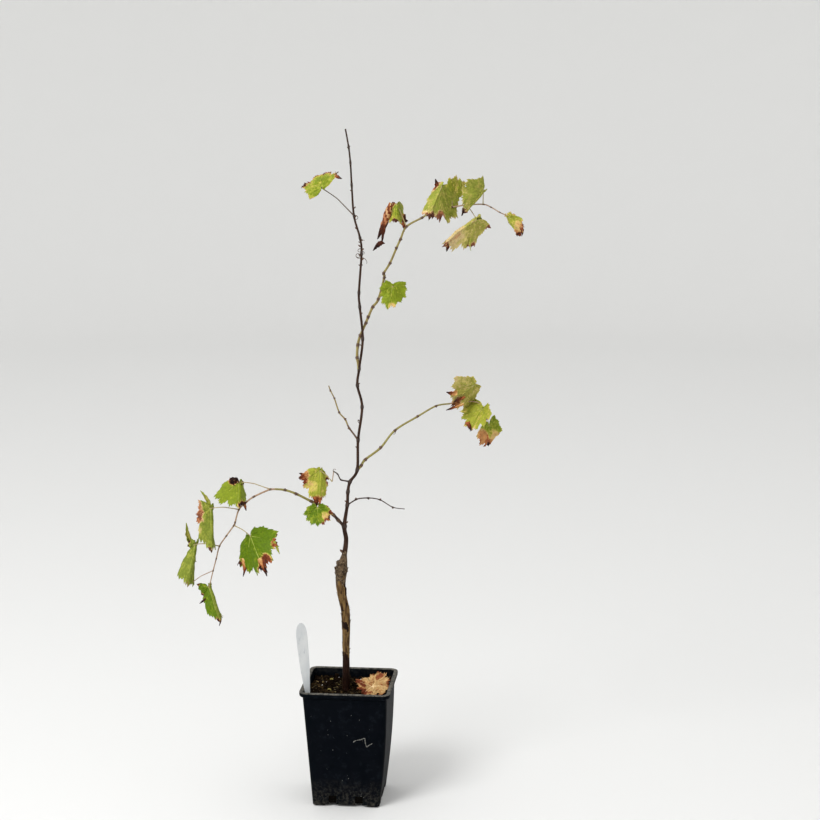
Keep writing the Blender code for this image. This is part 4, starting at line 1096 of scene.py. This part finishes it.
def potRing(height, out, sizes):
    # a square with round corners; its sides are bowed in, and the right wall bulges half way up
    share = height / sizes["height"]
    half = sizes["baseHalf"] + (sizes["topHalf"] - sizes["baseHalf"]) * share + out
    corner = sizes["baseRound"] + (sizes["topRound"] - sizes["baseRound"]) * share + out
    bow = -sizes["bow"] * sin(pi * min(1.0, share * 1.05))
    push = sizes["bulge"] * sin(pi * min(1.0, height / (sizes["height"] - sizes["lipDeep"])))
    straight, points = half - corner, []
    for quarter in range(4):
        turn = Matrix.Rotation(pi / 2 * quarter, 2)
        for step in range(sizes["cornerSteps"]):
            angle = pi / 2 * step / (sizes["cornerSteps"] - 1)
            points.append(turn @ Vector((straight + corner * cos(angle), straight + corner * sin(angle))))
        for step in range(1, sizes["sideSteps"]):
            share = step / sizes["sideSteps"]
            points.append(turn @ Vector((straight - 2 * straight * share, half + bow * sin(pi * share))))
    return [Vector((x + push * max(0.0, x / half), y, height)) * mm for x, y in points]


def potCuts(sizes):
    # boxes that leave four feet and a middle pad standing, and the drain slots: low and high corners
    pad, foot, reach = sizes["padHalf"], sizes["footHigh"], sizes["topHalf"] * 2
    footIn = sizes["footFromMiddle"] - sizes["footWide"] / 2
    footOut = sizes["footFromMiddle"] + sizes["footWide"] / 2
    inner = sizes["baseHalf"] - sizes["wall"] - sizes["slotIntoFloor"]
    for side in (-1, 1):
        middle, half = side * sizes["slotFromMiddle"], sizes["slotWide"] / 2
        for across, along, high in (
                ((-reach, reach), (side * pad, side * footIn), foot),
                ((-reach, reach), (side * footOut, side * reach), foot / 2),
                ((-pad - 1, pad + 1), (side * pad, side * reach), foot),
                ((middle - half, middle + half), (-inner, -reach), foot + sizes["slotHigh"]),
                ((middle - half, middle + half), (inner, reach), foot + sizes["slotHigh"])):
            near, far = sorted(along)
            yield (across[0], near, -5), (across[1], far, high)
            yield (near, across[0], -5), (far, across[1], high)


def cutBox(body, low, high):
    mesh = bpy.data.meshes.new("cut")
    model = bmesh.new()
    bmesh.ops.create_cube(model, size=1)
    for vert in model.verts:
        vert.co = [(low[axis] if vert.co[axis] < 0 else high[axis]) * mm for axis in range(3)]
    model.to_mesh(mesh)
    model.free()
    cut = body.modifiers.new("cut", "BOOLEAN")
    cut.operation, cut.solver = "DIFFERENCE", "EXACT"
    cut.object = bpy.data.objects.new("cut", mesh)
    scene.collection.objects.link(cut.object)
    return cut.object


def makePot(sizes):
    top, edge, lip, wall = sizes["height"], sizes["lipRound"], sizes["lipOut"], sizes["wall"]
    lipLow, floor = top - sizes["lipDeep"], sizes["footHigh"] + sizes["floorThick"]
    steps = sizes["wallSteps"]
    profile = [(lipLow * step / steps, 0) for step in range(steps + 1)]
    profile += [(lipLow, 0.6), (lipLow + 0.3, 2.4), (lipLow + edge, lip - edge), (lipLow + edge * 2, lip),
                (top - edge, lip), (top - edge * 0.3, lip - edge * 0.3), (top, lip - edge),
                (top, edge - wall), (top - edge * 0.3, edge * 0.3 - wall), (top - edge, -wall)]
    profile += [(top - edge + (floor - top + edge) * step / steps, -wall) for step in range(1, steps + 1)]
    heap = Heap()
    addLoft(heap, [potRing(height, out, sizes) for height, out in profile], 0)
    pot = heap.piece("pot_shell", ("potPlastic", "paleLipTop"), "black_plastic", "pot", outward=True)
    # the faces on top of the lip take the paler grey finish
    for face in pot.data.polygons:
        face.material_index = int(face.center.z > (top - edge * 0.7) * mm)
    cutters = [cutBox(pot, low, high) for low, high in potCuts(sizes)]
    bpy.context.view_layer.update()
    cut = bpy.data.meshes.new_from_object(pot.evaluated_get(bpy.context.evaluated_depsgraph_get()))
    pot.modifiers.clear()
    pot.data = cut
    for cutter in cutters:
        bpy.data.objects.remove(cutter, do_unlink=True)
    cut.shade_smooth()
    cut.set_sharp_from_angle(angle=radians(sizes["sharp"]))


def makeSpecks(sizes, rng):
    # a thin wavy trail of dried mud on the front wall, and specks of it on all walls
    heap = Heap()
    run = smoothRun([Vector((x, 0.15 - potHalf(z, sizes), z)) * mm for x, z in scuff], 0.8)[0]
    addTube(heap, run, [rng.uniform(0.2, 0.9) * mm for _ in run], 8, 0)
    for _ in range(sizes["specks"]):
        z = rng.uniform(sizes["specksFrom"], sizes["specksTo"])
        along, size = rng.uniform(-0.85, 0.85), rng.uniform(0.25, 0.7)
        half = potHalf(z, sizes) - 0.2
        place = Matrix.Rotation(pi / 2 * rng.randrange(4), 3, "Z") @ Vector((along * half, -half, z))
        addLump(heap, place * mm, size, size, Vector((0.3, 0.2, 1)), 0, rng, 0.3, 4, 6)
    heap.piece("dried_mud", ("driedMud",), "black_plastic")


makePot(potSizes)
makeSpecks(potSizes, random.Random(17))
print("pot ready")


# Compost with its crumbs, fibres, chips and pale grains


soilLooks = {  # scattered bits: how many, and how far they keep from the pot's wall, mm
    "rings": 56, "rough": 3.2, "crumbs": (1300, 2), "fibres": (170, 4), "chips": (46, 6), "grains": (44, 4),
}
paleClods = ((-32, -14, 4.0), (-36, 44, 3.6), (-46, -32, 2.6), (-22, 22, 2.4), (12, -46, 2.4), (26, 34, 2.8),
             (-12, -40, 2.0), (44, -48, 2.2))  # x, y, size
addFinish("compost", ((14, 8, 4), (28, 18, 10), (5, 3, 2)), 0.95, (260, 1.0, 0.4, 0.6), (900, 0.4, 1.0),
          (1.0, 0.8), 0.03)
# near-black compost for the bed's sides and bottom: painted shade, so the inside of the pot looks dark
# through the drain slots
addFinish("compostPaintedShade", ((8, 6, 4), (14, 10, 7)), 0.95, (260, 1.0, 0.4, 0.6), (900, 0.4, 1.0),
          (1.0, 0.8), 0.05)
addFinish("compostCrumb", ((18, 10, 5), (62, 48, 28), (7, 4, 3)), 0.95, (110, 1.0, 0.5, 0.62),
          (1100, 0.4, 1.0), (1.0, 0.6), 0.03)
addFinish("paleClod", ((124, 112, 60), (150, 136, 78), (70, 56, 30)), 0.95, (260, 1.0, 0.42, 0.6),
          (900, 0.4, 1.0), (1.0, 0.6), 0.05)
addFinish("compostFibre", ((104, 94, 56), (66, 54, 34), (140, 128, 84)), 0.85, (260, 1.0, 0.42, 0.6),
          (1200, 0.2, 1.0), (0.5, 0.3))
addFinish("woodChip", ((162, 138, 84), (112, 88, 54), (80, 58, 38)), 0.85, (300, 0.4, 0.42, 0.6),
          (1200, 0.2, 0.3), (0.7, 0.4))
addFinish("paleGrain", ((214, 210, 204), (186, 180, 184)), 0.7, (500, 1.0, 0.42, 0.6),
          (1200, 0.4, 1.0), (0.6, 0.4))


def onSoil(x, y, rise=0):
    # a place on the rough compost, or rise above it, in mm
    stemX, stemY = vinePoint(*stemFoot, 0).xy / mm
    rough = noise.noise(Vector((x / 13, y / 13, 2))) + 0.6 * noise.noise(Vector((x / 5, y / 5, 7)))
    rough += 0.35 * noise.noise(Vector((x / 2.2, y / 2.2, 4)))
    near = min(1.0, max(0.25, hypot(x - stemX, y - stemY) / 24))
    return Vector((x, y, soilTop + soilLooks["rough"] * rough * near + rise))


def makeSoil(looks, sizes):
    inside = -sizes["wall"] - clear
    low = sizes["footHigh"] + sizes["floorThick"] + clear
    rings = [potRing(height, inside, sizes) for height in (low, 60, 120, soilTop - 5)]
    edge = potRing(soilTop - 1, inside, sizes)
    for ring in range(looks["rings"]):
        share = (1 - ring / looks["rings"]) * 0.995
        rings.append([onSoil(point.x * share / mm, point.y * share / mm) * mm for point in edge])
    heap = Heap()
    addLoft(heap, rings, 0)
    bed = heap.piece("soil_bed", ("compost", "compostPaintedShade"), "dark_compost", "soil", outward=True)
    # faces more than 6 mm under the top of the compost take the painted shade
    for face in bed.data.polygons:
        face.material_index = int(face.center.z < (soilTop - 6) * mm)


def soilSpots(kind, rng):
    # places on the compost, how far they may lie from its middle, and a heap for what lies there
    count, margin = soilLooks[kind]
    half = potHalf(soilTop, potSizes) - potSizes["wall"] - clear - margin
    for _ in range(count):
        yield rng.uniform(-half, half), rng.uniform(-half, half), half


def makeCrumbs(rng):
    heap = Heap()
    for x, y, _ in soilSpots("crumbs", rng):
        size = 0.7 + 4.2 * rng.random() ** 2.4
        way = Vector((rng.uniform(-1, 1), rng.uniform(-1, 1), rng.uniform(-1, 1))) + Vector((0, 0, 0.01))
        addLump(heap, onSoil(x, y, size * 0.2) * mm, size * 0.8, size, way, 0, rng, 0.35, 4, 6)
    for x, y, size in paleClods:
        place = onSoil(x, y, size * 0.4) * mm
        addLump(heap, place, size * 0.9, size, Vector((0.4, 0.2, 0.3)), 1, rng, 0.22, 9, 12)
    heap.piece("compost_crumbs", ("compostCrumb", "paleClod"), "dark_compost", sharp=60)


def makeFibres(rng):
    heap = Heap()
    for x, y, half in soilSpots("fibres", rng):
        length, turn = rng.uniform(4, 17), rng.uniform(0, 2 * pi)
        bend, thick = rng.uniform(-1.4, 1.4), rng.uniform(0.18, 0.45)
        path = []
        for step in range(9):
            share = step / 8 - 0.5
            angle = turn + bend * share
            px, py = x + cos(angle) * length * share, y + sin(angle) * length * share
            rise = 0.4 + 1.6 * max(0.0, share) * rng.uniform(0.4, 1.0)
            path.append(onSoil(max(-half, min(half, px)), max(-half, min(half, py)), rise) * mm)
        addTube(heap, path, [thick * mm] * 9, 6, 0)
    heap.piece("compost_fibres", ("compostFibre",), "dark_compost")


def makeChips(rng):
    heap = Heap()
    for x, y, _ in soilSpots("chips", rng):
        length, turn = rng.uniform(2.5, 8), rng.uniform(0, 2 * pi)
        way, middle = radial(turn, rng.uniform(-0.2, 0.2)), onSoil(x, y, 0.9)
        points = [(middle + way * length * share) * mm for share in (-0.5, -0.2, 0.2, 0.5)]
        wide = length * rng.uniform(0.22, 0.42) * mm
        face = Vector((rng.uniform(-0.3, 0.3), 0.1, 1))
        addStrip(heap, points, [wide * 0.7, wide, wide, wide * 0.5], face, 0.7 * mm, 0)
    heap.piece("compost_chips", ("woodChip",), "dark_compost", sharp=30)


def makeGrains(rng):
    heap = Heap()
    for x, y, _ in soilSpots("grains", rng):
        size = rng.uniform(0.5, 1.3)
        addLump(heap, onSoil(x, y, size * 0.5) * mm, size, size, Vector((0.2, 0.3, 1)), 0, rng, 0.2, 5, 7)
    heap.piece("pale_grains", ("paleGrain",), "dark_compost")


makeSoil(soilLooks, potSizes)
makeCrumbs(random.Random(21))
makeFibres(random.Random(22))
makeChips(random.Random(23))
makeGrains(random.Random(24))
print("compost ready")


# Plant tag and the dry leaf that lies on the compost


tagSizes = {
    "long": 133.0, "wide": 19.0, "thick": 0.8, "bow": 0.35, "leans": (-4.6, 3.0), "turn": 28.0,
    "foot": (-61, -54), "sharp": 50,
    "widths": ((0, 0.2), (0.03, 0.34), (0.14, 0.5), (0.42, 0.86), (0.6, 0.96), (0.84, 1.0), (0.9, 0.93),
               (0.95, 0.76), (0.98, 0.52), (1.0, 0.2)),  # share of the length, share of the width
    "steps": 46, "across": 8,
}
addFinish("tagPlastic", ((206, 208, 208), (192, 196, 198), (176, 180, 184)), 0.4, (60, 0.3, 0.4, 0.65),
          (900, 0.2, 1.0), (0.15, 0.15), 0.5, ((120, 112, 100), 0.35, 420, 0.0001))


def setDown(body, x, y, node):
    # over x and y in mm, with its lowest point at the foot of the solid that it stands for
    lowest = min(vert.co.z for vert in body.data.vertices)
    body.data.transform(Matrix.Translation((x * mm, y * mm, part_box(node)[0].z - lowest)))


def makeTag(sizes):
    # a blade with a round head and a narrow foot, bowed a little along its length
    heap, rings, half = Heap(), [], sizes["thick"] / 2
    for step in range(sizes["steps"] + 1):
        share = step / sizes["steps"]
        wide = sizes["wide"] * between(sizes["widths"], share) / 2
        bow = sizes["bow"] * sin(pi * share)
        across = [-wide + 2 * wide * index / sizes["across"] for index in range(sizes["across"] + 1)]
        rings.append([Vector((sign * x, bow + sign * half, share * sizes["long"])) * mm
                      for sign in (1, -1) for x in across])
    addLoft(heap, rings, 0)
    tag = heap.piece("plant_tag_blade", ("tagPlastic",), "white_tag", "plant_tag", outward=True)
    turn = Matrix.Identity(4)
    for degrees, axis in zip((*sizes["leans"], sizes["turn"]), "YXZ"):
        turn = turn @ Matrix.Rotation(radians(degrees), 4, axis)
    tag.data.transform(turn)
    setDown(tag, *sizes["foot"], "plant_tag")
    tag.data.set_sharp_from_angle(angle=radians(sizes["sharp"]))


fallenLeaf = {
    "length": 35.5, "folds": (-22, -16), "droop": (8, 0.4), "lobes": (0.9, 0.92, 0.95, 0.85, 0.06),
    "age": 3.2, "sinus": 0.06, "rim": 6, "pale": 0, "waist": 0, "blotch": 3.2, "place": (39.5, -9),
    "slope": 18, "turn": -153,
    "spots": ((0, 95, 24, 7.4), (58, 80, 26, 8), (-58, 85, 16, 7.2), (118, 62, 24, 8), (-118, 60, 20, 7),
              (30, 60, 10, 7), (88, 50, 12, 8)),
}
fallenLooks = dict(leafLooks, crinkle=2.2, quilt=2.2, veinWide=1.3, curl=1.6, smallTeeth=0.1, notchReach=0.72,
                   lobeTurns=(0, 58, 118, 177))
fallenTones = ((140, 130, 72), (166, 148, 92), (194, 166, 114), (182, 150, 102), (168, 132, 86),
               (156, 112, 70), (140, 88, 54), (124, 68, 42), (98, 46, 28), (70, 34, 22), (40, 22, 16))


def makeFallenLeaf(leaf):
    finishNames = [addLeafFinish(f"fallenLeafTone{index}{face}", color, 0.7)
                   for index, color in enumerate(fallenTones) for face in ("Upper", "Under")]
    finishNames += [addLeafFinish("fallenVein", (228, 204, 160), 0.6),
                    addLeafFinish("fallenVeinDark", (208, 168, 122), 0.6)]
    matrix = Matrix.Rotation(radians(leaf["slope"]), 4, "X") @ Matrix.Rotation(radians(leaf["turn"]), 4, "Z")
    heap = Heap()
    addLeaf(heap, matrix, leaf, random.Random(leafLooks["seed"] + 90), 400, (0, 1), fallenLooks)
    blade = heap.piece("fallen_leaf_blade", finishNames, "fallen_leaf", "fallen_leaf")
    setDown(blade, *leaf["place"], "fallen_leaf")


makeTag(tagSizes)
makeFallenLeaf(fallenLeaf)
print("tag and fallen leaf ready")


# Stage: a pale floor that turns up into a round backdrop, a camera at eye height and soft light


stageSizes = {
    "radii": (0.4, 1.5, 5.2), "bend": 1.6, "bendSteps": 16, "wallHeight": 4.5, "steps": 96,
    "floorTone": (0.8, 0.8, 0.79, 1), "floorRoughness": 0.9, "skyLight": 0.86,
    "cameraPlace": (0.4112, -3.1932, 1.25), "cameraAim": (-0.09495, 0.97888, -0.18103), "lens": 88.55,
    "keyPlace": (-2.0, -3.0, 3.6), "keyAim": (0, 0, 0.6), "keySize": 2.2, "keyPower": 150,
}


def makeFloor(sizes):
    edge, bend, steps = sizes["radii"][-1], sizes["bend"], sizes["steps"]
    profile = [(radius, 0.0) for radius in sizes["radii"]]
    for step in range(1, sizes["bendSteps"] + 1):
        angle = pi / 2 * step / sizes["bendSteps"]
        profile.append((edge + bend * sin(angle), bend * (1 - cos(angle))))
    profile.append((edge + bend, sizes["wallHeight"]))
    turns = [2 * pi * step / steps for step in range(steps)]
    verts = [Vector((radius * cos(turn), radius * sin(turn), height))
             for radius, height in profile for turn in turns]
    faces = []
    for low in range(0, len(verts) - steps, steps):
        for step in range(steps):
            after = (step + 1) % steps
            faces.append((low + step, low + steps + step, low + steps + after, low + after))
    faces.append(range(steps))
    heap = Heap()
    heap.add(verts, faces, 0)
    floor = bpy.data.objects.new("floor", heap.mesh("floor", 0, False))
    scene.collection.objects.link(floor)
    paint = bpy.data.materials.new("paleFloor")
    paint.use_nodes = True
    shader = paint.node_tree.nodes["Principled BSDF"]
    shader.inputs["Base Color"].default_value = sizes["floorTone"]
    shader.inputs["Roughness"].default_value = sizes["floorRoughness"]
    floor.data.materials.append(paint)


def setUp(name, data, place, aim):
    # a camera or lamp that looks along aim
    body = bpy.data.objects.new(name, data)
    body.location = place
    body.rotation_euler = Vector(aim).to_track_quat("-Z", "Y").to_euler()
    scene.collection.objects.link(body)
    return body


def makeCameraAndLight(sizes):
    lens = bpy.data.cameras.new("camera")
    lens.lens, lens.sensor_width = sizes["lens"], 36
    scene.camera = setUp("camera", lens, sizes["cameraPlace"], sizes["cameraAim"])
    key = bpy.data.lights.new("keyLight", "AREA")
    key.shape, key.size, key.energy = "DISK", sizes["keySize"], sizes["keyPower"]
    setUp("keyLight", key, sizes["keyPlace"], Vector(sizes["keyAim"]) - Vector(sizes["keyPlace"]))
    scene.world = bpy.data.worlds.new("paleSky")
    scene.world.use_nodes = True
    sky = scene.world.node_tree.nodes["Background"]
    sky.inputs["Color"].default_value = (1, 1, 1, 1)
    sky.inputs["Strength"].default_value = sizes["skyLight"]
    scene.view_settings.view_transform = "Standard"


makeFloor(stageSizes)
makeCameraAndLight(stageSizes)
print("stage ready")
